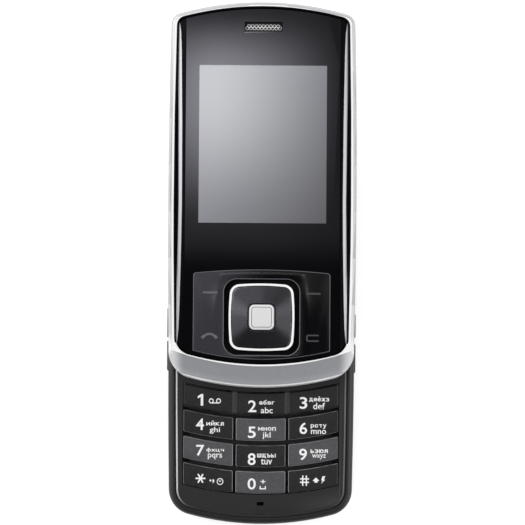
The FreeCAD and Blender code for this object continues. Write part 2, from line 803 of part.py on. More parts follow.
def make_keypad_case():
    body = new_body("keypad_case", "lower")
    outline_pad(body, FULL, PARTING, f"({LOWER_TOP} - {PARTING})")
    round_edges(body, level_edges(body, LOWER_TOP), "Sizes.front_rounding")
    wall = "Sizes.side_wall"
    outline_cut(body, outline(wall, wall, wall), PARTING, f"({CEILING} - {PARTING})")
    # Groove round the face: its outer part stays open, and the trim line fills its inner part
    outer, inner = trim_outline("Sizes.trim_inset"), trim_outline(GROOVE_END)
    cut(body, ring_sketch(body, GROOVE_FLOOR, outer, inner), "(2 * Sizes.trim_depth)", upward=True)
    # Opening for the keys, one arc-ended hole
    half = f"({KEYPAD_HALF} + Sizes.keypad_frame_gap)"
    sketch = sketch_on(body, "XY_Plane", f"({CEILING} - Sizes.seat_gap)")
    low, high = f"({KEYPAD_LOW} - Sizes.keypad_frame_gap)", f"({KEYPAD_HIGH} + Sizes.keypad_frame_gap)"
    draw_cell(sketch, f"(-{half})", half, low, high, "Sizes.row_radius")
    cut(body, sketch, "(2 * Sizes.face_thickness)", upward=True)
    # Seat of the guide plate, and the slot where the flexible cable goes in
    half = f"({GUIDE_HALF} + Sizes.key_play)"
    low, high = f"({GUIDE_LOW} - Sizes.key_play)", f"({GUIDE_HIGH} + Sizes.key_play)"
    box_cut(body, f"(-{half})", half, low, high, GUIDE_BOTTOM, "Sizes.face_thickness")
    low, high = f"({FLEX_LOW_END} - Sizes.flex_slot_play)", f"({FLEX_LOW_END} + Sizes.flex_slot_play)"
    box_cut(body, f"(-{FLEX_SLOT})", FLEX_SLOT, low, high, UNDER_CEILING, "Sizes.face_thickness")
    # Microphone slot
    half, reach = half_of("microphone_slot_width"), half_of("microphone_slot_length")
    middle = from_end("Sizes.microphone_from_end")
    low, high = f"({middle} - {reach})", f"({middle} + {reach})"
    box_cut(body, f"(-{half})", half, low, high, UNDER_CEILING, "(2 * Sizes.face_thickness)")
    # Slots through the side walls for the side keys
    for sign, start, length in SIDE_KEYS.values():
        cut_side_slot(body, sign, start, length)
    # Bosses that take the case screws, and holes for the guide plate's screws
    for x, y in CASE_SCREWS:
        post_pad(body, x, y, BOSS_RADIUS, PARTING, f"({CEILING} - {PARTING} + Sizes.seat_gap)")
        hole_cut(body, x, y, SCREW_BORE, PARTING, f"({CEILING} - {PARTING} - 2 * Sizes.seat_gap)")
    for x, y in PLATE_SCREWS:
        bore = "(Sizes.plate_screw_radius + Sizes.seat_gap)"
        hole_cut(body, x, y, bore, UNDER_CEILING, "Sizes.face_thickness")
    return body


def cut_side_slot(body, sign, start, length):
    outside = f"({sign} * ({HALF_WIDTH} + {WELL_CLEAR}))"
    sketch = sketch_on(body, "YZ_Plane", outside)
    low = from_end(f"({start} - Sizes.side_key_play)")
    high = from_end(f"({start} + {length} + Sizes.side_key_play)")
    floor = f"({SIDE_KEY_LOW} - Sizes.side_key_play)"
    top = f"({SIDE_KEY_LOW} + Sizes.side_key_height + Sizes.side_key_play)"
    draw_rectangle(sketch, low, high, floor, top)
    cut(body, sketch, f"(2 * Sizes.side_wall + {WELL_CLEAR})", upward=sign == "-1")


def make_keypad_trim_line():
    body = new_body("keypad_trim_line", "lower")
    outer = trim_outline("(Sizes.trim_inset + Sizes.trim_groove)")
    inner = trim_outline(f"({GROOVE_END} - Sizes.seat_gap)")
    pad(body, ring_sketch(body, GROOVE_FLOOR, outer, inner), "Sizes.trim_depth")
    return body


# ---------------------------------------------------------------- lower half: what it holds


def simple_box(label, half, left, right, low, high, floor, height):
    body = new_body(label, half)
    box_pad(body, left, right, low, high, floor, height)
    return body


def make_boards_and_cans():
    board = new_body("main_board", "lower")
    inset, corner = "Sizes.board_inset", "Sizes.board_corner"
    shape = outline("Sizes.board_side_inset", inset, inset, corner, corner)
    outline_pad(board, shape, BOARD_BOTTOM, "Sizes.board_thickness")
    for x, y in CASE_SCREWS:
        hole_cut(board, x, y, f"({BOSS_RADIUS} + Sizes.key_play)", BOARD_BOTTOM, "Sizes.board_thickness")
    cans = new_body("shield_cans", "lower")
    half = f"({SWITCH_FACE} - Sizes.switch_depth - Sizes.can_side_gap)"
    height = f"({CEILING} - Sizes.can_clearance - {BOARD_TOP})"
    length = "((Sizes.closed_length - Sizes.can_from_end - Sizes.can_from_top - Sizes.can_gap) / 2)"
    for index in range(2):
        low = from_end(f"(Sizes.can_from_end + {index} * ({length} + Sizes.can_gap))")
        box_pad(cans, f"(-{half})", half, low, f"({low} + {length})", BOARD_TOP, height)
    sheet_body = new_body("keypad_dome_sheet", "lower")
    mat = new_body("keypad_mat", "lower")
    low, high = KEYPAD_LOW, KEYPAD_HIGH
    half = f"({BOARD_HALF} - Sizes.key_play)"
    for body, floor, height in (
        (sheet_body, BOARD_TOP, "Sizes.dome_thickness"),
        (mat, DOME_TOP, "Sizes.mat_thickness"),
    ):
        sketch = sketch_on(body, "XY_Plane", floor)
        draw_cell(sketch, f"(-{half})", half, low, high, "Sizes.row_radius")
        pad(body, sketch, height)
    return [board, cans, sheet_body, mat]


def make_battery():
    body = new_body("battery", "lower")
    half = half_of("battery_width")
    floor = "(Sizes.cover_thickness + Sizes.battery_clearance)"
    corners = box_pad(body, f"(-{half})", half, BATTERY_LOW, BATTERY_HIGH, floor, "Sizes.battery_thickness")
    round_edges(body, upright_edges(body, corners), "Sizes.battery_corner")
    return body


def make_battery_contacts():
    half = half_of("contact_width")
    floor = f"({BAY_CEILING} - Sizes.contact_height)"
    return simple_box("battery_contacts", "lower", f"(-{half})", half, BAY_HIGH,
                      f"({BAY_HIGH} + Sizes.contact_depth)", floor, "Sizes.contact_height")


def make_sim_holder():
    half, middle = half_of("sim_width"), SIM_X
    return simple_box("sim_holder", "lower", f"({middle} - {half})", f"({middle} + {half})", SIM_LOW,
                      f"({SIM_LOW} + Sizes.sim_length)", f"({BOARD_BOTTOM} - Sizes.sim_height)",
                      "Sizes.sim_height")


def make_camera():
    module = new_body("camera_module", "lower")
    half = half_of("camera_side")
    base = f"({BOARD_BOTTOM} - Sizes.camera_base_height)"
    low, high = f"({CAMERA_Y} - {half})", f"({CAMERA_Y} + {half})"
    box_pad(module, f"(-{half})", half, low, high, base, "Sizes.camera_base_height")
    barrel_floor = f"({CAMERA_SEAT} + Sizes.seat_gap)"
    post_pad(module, "0", CAMERA_Y, "Sizes.lens_radius", barrel_floor, f"({base} - {barrel_floor})")
    window = new_body("camera_window", "lower")
    post_pad(window, "0", CAMERA_Y, "Sizes.camera_window_radius", "Sizes.camera_window_recess",
             "Sizes.camera_window_thickness")
    return [module, window]


def make_speaker():
    speaker = new_body("loudspeaker", "lower")
    floor = "(Sizes.back_wall + Sizes.seat_gap)"
    post_pad(speaker, SPEAKER_X, SPEAKER_Y, "Sizes.speaker_radius", floor, "Sizes.speaker_height")
    half, reach = half_of("speaker_mesh_width"), half_of("speaker_mesh_length")
    left, right = f"({SPEAKER_X} - {half})", f"({SPEAKER_X} + {half})"
    low, high = f"({SPEAKER_Y} - {reach})", f"({SPEAKER_Y} + {reach})"
    floor, height = "Sizes.speaker_mesh_recess", "Sizes.speaker_mesh_thickness"
    mesh = simple_box("loudspeaker_mesh", "lower", left, right, low, high, floor, height)
    return [speaker, mesh]


def make_motor():
    """Vibration motor: a small cylinder lying across the phone, on the back wall."""
    body = new_body("vibration_motor", "lower")
    start = f"(-{MOTOR_X} - Sizes.motor_length / 2)"
    sketch = sketch_on(body, "YZ_Plane", start)
    middle, radius = from_top("motor_from_top"), "Sizes.motor_radius"
    draw_circle(sketch, middle, f"(Sizes.back_wall + Sizes.seat_gap + {radius})", radius)
    pad(body, sketch, "Sizes.motor_length")
    return body


def make_microphone_and_aerial():
    microphone = new_body("microphone", "lower")
    middle = from_end("Sizes.microphone_from_end")
    post_pad(microphone, "0", middle, "Sizes.microphone_radius", BOARD_TOP, "Sizes.microphone_height")
    half = half_of("aerial_width")
    low = from_end("Sizes.aerial_from_end")
    floor = f"({PARTING} - Sizes.aerial_height - Sizes.seat_gap)"
    aerial = simple_box("antenna", "lower", f"(-{half})", half, low, f"({low} + Sizes.aerial_depth)",
                        floor, "Sizes.aerial_height")
    return [microphone, aerial]


def make_case_screws():
    body = new_body("case_screws", "lower")
    seat = "Sizes.case_screw_depth"
    for x, y in CASE_SCREWS:
        head = f"({seat} - Sizes.screw_head_height)"
        post_pad(body, x, y, "Sizes.screw_head_radius", head, "Sizes.screw_head_height")
        post_pad(body, x, y, "Sizes.screw_radius", seat, f"({CEILING} - {seat} - 4 * Sizes.seat_gap)")
    return body


def make_side_switches():
    body = new_body("side_switches", "lower")
    half = half_of("switch_length")
    places = [
        ("-1", "(Sizes.volume_from_end + Sizes.volume_length / 4)"),
        ("-1", "(Sizes.volume_from_end + 3 * Sizes.volume_length / 4)"),
        ("1", "(Sizes.upper_side_key_from_end + Sizes.upper_side_key_length / 2)"),
        ("1", "(Sizes.lower_side_key_from_end + Sizes.lower_side_key_length / 2)"),
    ]
    for sign, middle in places:
        outer = SWITCH_FACE
        inner = f"({outer} - Sizes.switch_depth)"
        left, right = (f"(-{outer})", f"(-{inner})") if sign == "-1" else (inner, outer)
        low, high = from_end(f"({middle} - {half})"), from_end(f"({middle} + {half})")
        box_pad(body, left, right, low, high, BOARD_TOP, "Sizes.switch_height")
    return body


# ---------------------------------------------------------------- keys of the lower half


FLANGE_OUT = f"({HALF_WIDTH} - Sizes.side_wall - Sizes.side_bow / 2 - Sizes.side_key_travel)"
FLANGE_IN = f"({FLANGE_OUT} - Sizes.side_key_flange)"
SWITCH_FACE = f"({FLANGE_IN} - Sizes.side_key_travel - Sizes.seat_gap)"
LEGENDS = ("1", "2", "3", "4", "5", "6", "7", "8", "9", "star", "0", "hash")


def make_number_keys():
    """Twelve keys in four curved rows of three."""
    keys = []
    for index, legend in enumerate(LEGENDS):
        row, column = divmod(index, 3)
        body = new_body(f"key_{legend}", "lower")
        left = f"(-{KEYPAD_HALF} + {column} * ({KEY_WIDTH} + Sizes.key_gap))"
        low = f"({KEYPAD_LOW} + {3 - row} * Sizes.row_pitch)"
        high = f"({low} + Sizes.row_pitch - Sizes.row_gap)"
        sketch = sketch_on(body, "XY_Plane", KEY_BOTTOM)
        corners = draw_cell(sketch, left, f"({left} + {KEY_WIDTH})", low, high, "Sizes.row_radius")
        pad(body, sketch, "Sizes.key_height")
        round_edges(body, upright_edges(body, corners), "Sizes.key_corner")
        round_edges(body, level_edges(body, KEY_TOP), "Sizes.key_rounding")
        keys.append(body)
    return keys


def make_side_keys():
    keys = []
    for label, (sign, start, length) in SIDE_KEYS.items():
        body = new_body(label, "lower")
        low, high = from_end(start), from_end(f"({start} + {length})")
        outer = f"({HALF_WIDTH} + Sizes.side_key_proud)"
        left, right = (f"(-{outer})", f"(-{FLANGE_IN})") if sign == "-1" else (FLANGE_IN, outer)
        corners = box_pad(body, left, right, low, high, SIDE_KEY_LOW, "Sizes.side_key_height")
        outside = [point for point in corners if abs(value(point[0])) > value(HALF_WIDTH)]
        round_edges(body, upright_edges(body, outside), "(2 * Sizes.side_key_rounding)")
        round_edges(body, outer_rim_edges(body), "Sizes.side_key_rounding")
        # Flange that keeps the key in its slot, wider than the slot on each side
        flange = "Sizes.side_key_flange"
        left, right = (f"(-{FLANGE_OUT})", f"(-{FLANGE_IN})") if sign == "-1" else (FLANGE_IN, FLANGE_OUT)
        box_pad(body, left, right, f"({low} - {flange})", f"({high} + {flange})",
                f"({SIDE_KEY_LOW} - {flange} / 2)", f"(Sizes.side_key_height + {flange})")
        if label == "volume_key":
            middle = f"(({low} + {high}) / 2)"
            notch = half_of("volume_notch")
            proud = "Sizes.side_key_proud"
            left, right = f"(-{outer} - {WELL_CLEAR})", f"(-{HALF_WIDTH} + {proud})"
            low, high = f"({middle} - {notch})", f"({middle} + {notch})"
            box_cut(body, left, right, low, high, SIDE_KEY_LOW, "(2 * Sizes.side_key_height)")
        keys.append(body)
    return keys


def outer_rim_edges(body):
    """Edges of a side key's outer face that run along Y."""
    reach = value(f"{HALF_WIDTH} + Sizes.side_key_proud")
    tall = value("Sizes.side_key_height")

    def test(edge):
        points = edge.discretize(3)
        outermost = all(abs(abs(point.x) - reach) < SAME for point in points)
        return outermost and abs(points[0].y - points[-1].y) > tall / 2

    return edges_where(body, test)


# ---------------------------------------------------------------- slide mechanism


PLATE_SCREWS = [
    (f"({sign} * ({GUIDE_HALF} - Sizes.plate_screw_side))", y)
    for sign in SIDES
    for y in (f"({GUIDE_LOW} + Sizes.plate_screw_end)", f"({GUIDE_HIGH} - Sizes.plate_screw_end)")
]


def make_guide_plate():
    """Steel sheet on the lower half, with two upright flanges that end in outward hooks."""
    body = new_body("base_guide_plate", "lower")
    inner = f"({GUIDE_HALF} - Sizes.guide_sheet)"
    right = [(GUIDE_HALF, GUIDE_BOTTOM), (GUIDE_HALF, HOOK_BOTTOM), (HOOK_OUT, HOOK_BOTTOM),
             (HOOK_OUT, HOOK_TOP), (inner, HOOK_TOP), (inner, GUIDE_TOP)]
    left = [(f"(-{x})", z) for x, z in right[::-1]]
    rail_pad(body, right + left, GUIDE_LOW, f"({GUIDE_HIGH} - {GUIDE_LOW})")
    low, high = f"({FLEX_LOW_END} - Sizes.flex_slot_play)", f"({FLEX_LOW_END} + Sizes.flex_slot_play)"
    box_cut(body, f"(-{FLEX_SLOT})", FLEX_SLOT, low, high, GUIDE_BOTTOM, "Sizes.guide_sheet")
    head = f"({GUIDE_TOP} - Sizes.plate_screw_head_height)"
    for x, y in PLATE_SCREWS:
        hole_cut(body, x, y, "(Sizes.plate_screw_head_radius + Sizes.seat_gap)", head, WELL_CLEAR)
        hole_cut(body, x, y, "(Sizes.plate_screw_radius + Sizes.seat_gap)", GUIDE_BOTTOM, WELL_CLEAR)
    for sign in SIDES:
        x = f"({sign} * {BASE_PIN_X})"
        hole_cut(body, x, BASE_PIN_Y, "Sizes.pin_radius", GUIDE_BOTTOM, WELL_CLEAR)
    return body


def make_guide_shoes():
    """Plastic shoes clipped over the ends of both hooks, which run in the C rails."""
    body = new_body("guide_shoes", "lower")
    inner = f"({GUIDE_HALF} + Sizes.shoe_play)"
    section = [(inner, SHOE_BOTTOM), (SHOE_OUT, SHOE_BOTTOM), (SHOE_OUT, SHOE_TOP), (inner, SHOE_TOP),
               (inner, HOOK_TOP), (HOOK_OUT, HOOK_TOP), (HOOK_OUT, HOOK_BOTTOM), (inner, HOOK_BOTTOM)]
    starts = (f"({GUIDE_LOW} + Sizes.shoe_end)", f"({GUIDE_HIGH} - Sizes.shoe_end - Sizes.shoe_length)")
    for sign in SIDES:
        for start in starts:
            rail_pad(body, mirrored(section, sign), start, "Sizes.shoe_length")
    return body


def make_guide_plate_screws():
    body = new_body("guide_plate_screws", "lower")
    head = f"({GUIDE_TOP} - Sizes.plate_screw_head_height)"
    for x, y in PLATE_SCREWS:
        post_pad(body, x, y, "Sizes.plate_screw_head_radius", head, "Sizes.plate_screw_head_height")
        floor = f"({CEILING} - 2 * Sizes.seat_gap)"
        post_pad(body, x, y, "Sizes.plate_screw_radius", floor, f"({head} - {floor})")
    return body


PLATE_LOW = from_end("Sizes.slide_plate_from_end")
PLATE_HIGH = from_top("slide_plate_from_top")
FLEX_HIGH_END = from_top("flex_high_from_top")
SLIDE_SCREWS = [
    (f"({sign} * {SLIDE_SCREW_X})", y)
    for sign in SIDES
    for y in (from_end("Sizes.slide_screw_from_end"), from_top("slide_screw_from_top"))
]


def make_slide_plate():
    """Steel sheet of the upper half, with a C rail folded down along each side."""
    body = new_body("slide_plate", "upper")
    lip_in = f"({RAIL_IN} - Sizes.rail_lip)"
    box_pad(body, f"(-{PLATE_HALF})", PLATE_HALF, PLATE_LOW, PLATE_HIGH, PLATE_BOTTOM, "Sizes.rail_sheet")
    section = [(RAIL_IN, PLATE_BOTTOM), (RAIL_IN, LIP_TOP), (lip_in, LIP_TOP), (lip_in, LIP_BOTTOM),
               (RAIL_OUT, LIP_BOTTOM), (RAIL_OUT, PLATE_BOTTOM)]
    for sign in SIDES:
        rail_pad(body, mirrored(section, sign), PLATE_LOW, f"({PLATE_HIGH} - {PLATE_LOW})")
    low, high = f"({FLEX_HIGH_END} - Sizes.flex_slot_play)", f"({FLEX_HIGH_END} + Sizes.flex_slot_play)"
    box_cut(body, f"(-{FLEX_SLOT})", FLEX_SLOT, low, high, PLATE_BOTTOM, "Sizes.rail_sheet")
    for x, y in SLIDE_SCREWS:
        hole_cut(body, x, y, SCREW_BORE, PLATE_BOTTOM, "Sizes.rail_sheet")
    for sign in SIDES:
        x = f"({sign} * {SLIDE_PIN_X})"
        hole_cut(body, x, SLIDE_PIN_Y, "Sizes.pin_radius", PLATE_BOTTOM, "Sizes.rail_sheet")
    return body


def make_spring_pins():
    """Riveted pins that the springs turn on, two on each plate. Each head is on the far side."""
    base = new_body("base_spring_pins", "lower")
    slide = new_body("slide_spring_pins", "upper")
    for sign in SIDES:
        x = f"({sign} * {BASE_PIN_X})"
        top = f"({PLATE_BOTTOM} - Sizes.pin_head_gap)"
        head = f"({top} - Sizes.pin_head_height)"
        post_pad(base, x, BASE_PIN_Y, "Sizes.pin_radius", GUIDE_BOTTOM, f"({head} - {GUIDE_BOTTOM})")
        post_pad(base, x, BASE_PIN_Y, "Sizes.pin_head_radius", head, "Sizes.pin_head_height")
        x = f"({sign} * {SLIDE_PIN_X})"
        floor = f"({GUIDE_TOP} + Sizes.pin_head_gap)"
        neck = f"({floor} + Sizes.pin_head_height)"
        post_pad(slide, x, SLIDE_PIN_Y, "Sizes.pin_head_radius", floor, "Sizes.pin_head_height")
        post_pad(slide, x, SLIDE_PIN_Y, "Sizes.pin_radius", neck, f"({PLATE_TOP} - {neck})")
    return [base, slide]


def rounded_path(points, radius):
    """A wire of straight runs joined by tangent arcs of one radius."""
    edges = []
    start = points[0]
    for before, corner, after in zip(points, points[1:], points[2:]):
        one, two = (before - corner).normalize(), (after - corner).normalize()
        half_angle = math.acos(max(-1, min(1, one.dot(two)))) / 2
        reach = radius / math.tan(half_angle)
        first, last = corner + one * reach, corner + two * reach
        middle = corner + (one + two).normalize() * (radius / math.sin(half_angle) - radius)
        edges.append(Part.LineSegment(start, first).toShape())
        edges.append(Part.Arc(first, middle, last).toShape())
        start = last
    edges.append(Part.LineSegment(start, points[-1]).toShape())
    return Part.Wire(edges)


def make_slide_spring(label, side):
    """Waved spring wire between a pin of each plate, with an eye round each pin."""
    wire = value("Sizes.spring_wire") / 2
    eye = value("Sizes.pin_radius + Sizes.seat_gap") + wire
    level = value(f"({GUIDE_TOP} + {PLATE_BOTTOM}) / 2")
    base_pin = Vector(side * value(BASE_PIN_X), value(BASE_PIN_Y), level)
    slide_y = value(f"{SLIDE_PIN_Y} + Sizes.slide_travel")
    slide_pin = Vector(side * value(SLIDE_PIN_X), slide_y, level)
    along = (slide_pin - base_pin).normalize()
    across = Vector(-along.y, along.x, 0)
    length = (slide_pin - base_pin).Length
    wave = value("Sizes.spring_wave")
    points = [base_pin + along * eye]
    for step in range(1, SPRING_WAVES):
        distance = eye + (length - 2 * eye) * step / SPRING_WAVES
        points.append(base_pin + along * distance + across * (wave * (-1) ** step))
    points.append(slide_pin - along * eye)
    path = rounded_path(points, 2 * wire)
    tangent = path.OrderedEdges[0].tangentAt(path.OrderedEdges[0].FirstParameter)
    section = Part.Wire(Part.makeCircle(wire, points[0], tangent))
    zigzag = path.makePipeShell([section], True, True)
    eyes = [Part.makeTorus(eye, wire, pin, Vector(0, 0, 1)) for pin in (base_pin, slide_pin)]
    spring = doc.addObject("Part::Feature", label)
    spring.Label = label
    spring.Shape = zigzag.fuse(eyes).removeSplitter()
    spring.Placement = FreeCAD.Placement(Vector(0, -value(HALF_TRAVEL), 0), FreeCAD.Rotation())
    return spring


def make_flex_cable():
    """Flat ribbon in a U loop between the two boards. Its fold rolls along as the phone opens."""
    body = new_body("flex_cable", "lower")
    thin, gap = "Sizes.flex_thickness", "Sizes.flex_clearance"
    low_leg, high_leg = f"({GUIDE_TOP} + {gap})", f"({PLATE_BOTTOM} - {gap})"
    low_end, high_end = FLEX_LOW_END, f"({FLEX_HIGH_END} + Sizes.slide_travel)"
    fold = f"({FLEX_HIGH_END} + {HALF_TRAVEL} - Sizes.flex_slack)"
    board = f"({BOARD_TOP} + Sizes.seat_gap)"
    upper_board = f"({UPPER_BOARD_BOTTOM} - Sizes.seat_gap)"
    sketch = sketch_on(body, "YZ_Plane", f"(-{half_of('flex_width')})")
    half = half_of("flex_thickness")
    points = [
        (f"({low_end} + {half})", board),
        (f"({low_end} + {half})", f"({low_leg} + {thin})"),
        (f"({fold} + {thin})", f"({low_leg} + {thin})"),
        (f"({fold} + {thin})", f"({high_leg} - {thin})"),
        (f"({high_end} + {half})", f"({high_leg} - {thin})"),
        (f"({high_end} + {half})", upper_board),
        (f"({high_end} - {half})", upper_board),
        (f"({high_end} - {half})", high_leg),
        (fold, high_leg),
        (fold, low_leg),
        (f"({low_end} - {half})", low_leg),
        (f"({low_end} - {half})", board),
    ]
    draw_polygon(sketch, points)
    pad(body, sketch, "Sizes.flex_width")
    # Round fold: inside and outside edges of the U
    reach = f"(({high_leg} - {low_leg}) / 2)"
    folds = (
        (f"({fold} + {thin})", f"({reach} - {thin}) * {FOLD_SHARE}"),
        (fold, f"{reach} * {FOLD_SHARE}"),
    )
    for middle, radius in folds:
        round_edges(body, crosswise_edges(body, middle, low_leg, high_leg), radius)
    return body


def crosswise_edges(body, y, low, high):
    """Edges along X at one place along Y, between two levels."""
    place_y, floor, top = value(y), value(low), value(high)

    def test(edge):
        one, two = edge.discretize(2)
        level = all(floor - SAME <= point.z <= top + SAME for point in (one, two))
        here = all(abs(point.y - place_y) < SAME for point in (one, two))
        return level and here and abs(one.x - two.x) > SAME

    return edges_where(body, test)


# ---------------------------------------------------------------- upper half: shells


FRAME = outline("0", "0", "Sizes.chin_step")
WINDOW_OPENING = outline("Sizes.rim_side", "Sizes.rim_top", "Sizes.chin_height",
                         "Sizes.window_top_corner", "Sizes.window_bottom_corner")
WINDOW = outline(
    "(Sizes.rim_side + Sizes.window_gap)",
    "(Sizes.rim_top + Sizes.window_gap)",
    "(Sizes.chin_height + Sizes.window_gap)",
    "(Sizes.window_top_corner - Sizes.window_gap / 2)",
    "(Sizes.window_bottom_corner - Sizes.window_gap / 2)",
)
CHIN_RADIUS = sagitta_radius(SIDE, "Sizes.bottom_crown")
CHIN_CENTRE = f"(Sizes.chin_step - {HALF_LENGTH} + {CHIN_RADIUS})"
STEMS = [
    (sign, f"({sign} * {STEM_X})", y)
    for sign in SIDES
    for y in (f"({NAV_Y} + Sizes.upper_stem_rise)", f"({NAV_Y} - Sizes.lower_stem_drop)")
]
EAR_Y = from_top("earpiece_from_top")
DISPLAY_LOW = from_end("Sizes.display_from_end")
DISPLAY_HIGH = from_top("display_from_top")


def make_slide_frame():
    """Silver rim with a sloping chin and a deck that carries the window."""
    body = new_body("slide_frame", "upper")
    outline_pad(body, FRAME, FRAME_BOTTOM, f"({RIM_TOP} - {FRAME_BOTTOM})")
    round_edges(body, level_edges(body, RIM_TOP), "Sizes.rim_rounding")
    outline_cut(body, WINDOW_OPENING, DECK_TOP, f"({RIM_TOP} - {DECK_TOP} + {WELL_CLEAR})")
    inner = (f"{HALF_WIDTH} - Sizes.rim_side + {OVERCUT}",
             f"Sizes.chin_height - {HALF_LENGTH} - {OVERCUT}",
             f"{HALF_LENGTH} - Sizes.rim_top + {OVERCUT}")
    bevel_edges(body, level_edges(body, RIM_TOP, inner), "Sizes.rim_chamfer")
    cut_chin(body)
    # Hollow under the deck, and the openings through the deck
    wall = "Sizes.frame_wall"
    hollow = outline(wall, wall, "Sizes.frame_end_wall", bottom_corner="Sizes.frame_hollow_corner")
    outline_cut(body, hollow, FRAME_BOTTOM, f"({DECK_BOTTOM} - {FRAME_BOTTOM})")
    half, gap = f"({half_of('display_width')} + Sizes.display_gap)", "Sizes.display_gap"
    deck = (f"({DECK_BOTTOM} - {OVERCUT})", f"(Sizes.deck_thickness + {OVERCUT})")
    box_cut(body, f"(-{half})", half, f"({DISPLAY_LOW} - {gap})", f"({DISPLAY_HIGH} + {gap})", *deck)
    half = f"({half_of('slot_width')} - Sizes.slot_edge)"
    reach = f"({half_of('slot_length')} - Sizes.slot_edge)"
    box_cut(body, f"(-{half})", half, f"({EAR_Y} - {reach})", f"({EAR_Y} + {reach})", *deck)
    hole_cut(body, "0", NAV_Y, "(Sizes.gimbal_radius + Sizes.gimbal_hole_gap)", *deck)
    for sign, x, y in STEMS:
        hole_cut(body, x, y, "(Sizes.stem_radius + Sizes.stem_hole_gap)", *deck)
    # Bosses for the screws of the slide plate
    for x, y in SLIDE_SCREWS:
        post_pad(body, x, y, BOSS_RADIUS, PLATE_TOP, f"({DECK_BOTTOM} - {PLATE_TOP} + Sizes.seat_gap)")
        hole_cut(body, x, y, SCREW_BORE, PLATE_TOP, f"({DECK_BOTTOM} - {PLATE_TOP})")
    return body


def cut_chin(body):
    """Slope of the chin: a shallow cone about the centre of the lower edge's arc."""
    sketch = sketch_on(body, "YZ_Plane", "0", CHIN_CENTRE)
    land = "(Sizes.chin_height - Sizes.chin_step - Sizes.rim_chamfer - Sizes.chin_land)"
    edge = f"(-({CHIN_RADIUS}))"
    inner = f"({edge} + {land})"
    beyond = f"({edge} - {WELL_CLEAR})"
    low, above = f"({RIM_TOP} - Sizes.chin_drop)", f"({RIM_TOP} + {WELL_CLEAR})"
    points = [(inner, RIM_TOP), (inner, above), (beyond, above), (beyond, low), (edge, low)]
    for start, end in zip(points, points[1:]):
        sketch.addGeometry(Part.LineSegment(at(start), at(end)), False)
    # Slightly full slope, from the outer edge up to the land beside the window
    run = value(f"{inner} - {edge}")
    drop = value("Sizes.chin_drop")
    chord = math.hypot(run, drop)
    bulge = value("Sizes.chin_bulge")
    middle = at((f"({inner} + {edge}) / 2", f"({RIM_TOP} + {low}) / 2"))
    middle = middle + Vector(-drop / chord, run / chord, 0) * bulge
    slope = sketch.GeometryCount
    sketch.addGeometry(Part.Arc(at(points[0]), middle, at(points[4])), False)
    for index in range(3):
        sketch.addConstraint(Sketcher.Constraint("Coincident", index, 2, index + 1, 1))
    sketch.addConstraint(Sketcher.Constraint("Coincident", 3, 2, slope, 2))
    sketch.addConstraint(Sketcher.Constraint("Coincident", slope, 1, 0, 1))
    for index in range(4):
        place(sketch, index, 1, points[index])
    place(sketch, 3, 2, points[4])
    half_chord = f"(sqrt(({inner} - {edge}) ^ 2 + Sizes.chin_drop ^ 2) / 2)"
    bind(sketch, "Radius", slope, to=sagitta_radius(half_chord, "Sizes.chin_bulge"))
    before = body.Tip.Shape.Volume
    groove = add(body, "Groove", sketch)
    groove.ReferenceAxis = (sketch, ["V_Axis"])
    groove.Angle = FULL_TURN
    doc.recompute()
    if groove.Shape.isNull() or groove.Shape.Volume > before - SAME:
        raise RuntimeError("the chin's slope removed nothing")


def make_front_window():
    """Black window: flat in the middle, with a rolled facet along each side."""
    body = new_body("front_window", "upper")
    outline_pad(body, WINDOW, DECK_TOP, "Sizes.window_thickness")
    # Side facets
    edge = f"({WINDOW.side} + Sizes.side_bow - Sizes.facet_inset)"
    beyond = f"({edge} + 2 * Sizes.facet_inset)"
    drop = f"({WINDOW_TOP} - 2 * Sizes.facet_drop)"
    above = f"({WINDOW_TOP} + {WELL_CLEAR})"
    section = [(edge, WINDOW_TOP), (beyond, drop), (beyond, above), (edge, above)]
    sketch = sketch_on(body, "XZ_Plane", "(-Sizes.closed_length)")
    for sign in SIDES:
        draw_polygon(sketch, mirrored(section, sign))
    cut(body, sketch, "(2 * Sizes.closed_length)", upward=True)
    # Opening for the function keys, and the earpiece slot
    sketch = sketch_on(body, "XY_Plane", DECK_TOP)
    corners = draw_panel(sketch, "0")
    cut(body, sketch, "(2 * Sizes.window_thickness)", upward=True)
    round_edges(body, upright_edges(body, corners[:2]), "Sizes.panel_corner")
    half, reach = half_of("slot_width"), half_of("slot_length")
    box_cut(body, f"(-{half})", half, f"({EAR_Y} - {reach})", f"({EAR_Y} + {reach})", DECK_TOP,
            "(2 * Sizes.window_thickness)")
    return body


PANEL_SHARE = f"({PANEL_HALF} / {SIDE}) ^ 2"


def draw_panel(sketch, inset, left=None, right=None):
    """The function panel, or the part of it between two upright lines: an arc above and below."""
    half = f"({PANEL_HALF} - {inset})"
    left, right = left or f"(-{half})", right or half
    top, low = f"({PANEL_HIGH} - {inset})", f"({PANEL_LOW} + {inset})"
    upper_radius = sagitta_radius(PANEL_HALF, "Sizes.panel_top_crown")
    lower_radius = sagitta_radius(PANEL_HALF, f"(Sizes.bottom_crown * {PANEL_SHARE})")
    middle = f"(({left} + {right}) / 2)"

    def upper(x):
        return f"({top} - ({upper_radius}) + sqrt(({upper_radius}) ^ 2 - ({x}) ^ 2))"

    def lower(x):
        return f"({low} + ({lower_radius}) - sqrt(({lower_radius}) ^ 2 - ({x}) ^ 2))"

    a, b = (left, upper(left)), (right, upper(right))
    c, d = (right, lower(right)), (left, lower(left))
    first = sketch.GeometryCount
    sketch.addGeometry(Part.LineSegment(at(a), at(d)), False)
    draw_arc(sketch, d, (middle, lower(middle)), c, lower_radius)
    sketch.addGeometry(Part.LineSegment(at(c), at(b)), False)
    draw_arc(sketch, b, (middle, upper(middle)), a, upper_radius)
    for index, point in enumerate((a, d, c, b)):
        after = first + (index + 1) % 4
        sketch.addConstraint(Sketcher.Constraint("Coincident", first + index, 2, after, 1))
        place(sketch, first + index, 1, point)
    return [a, b, c, d]


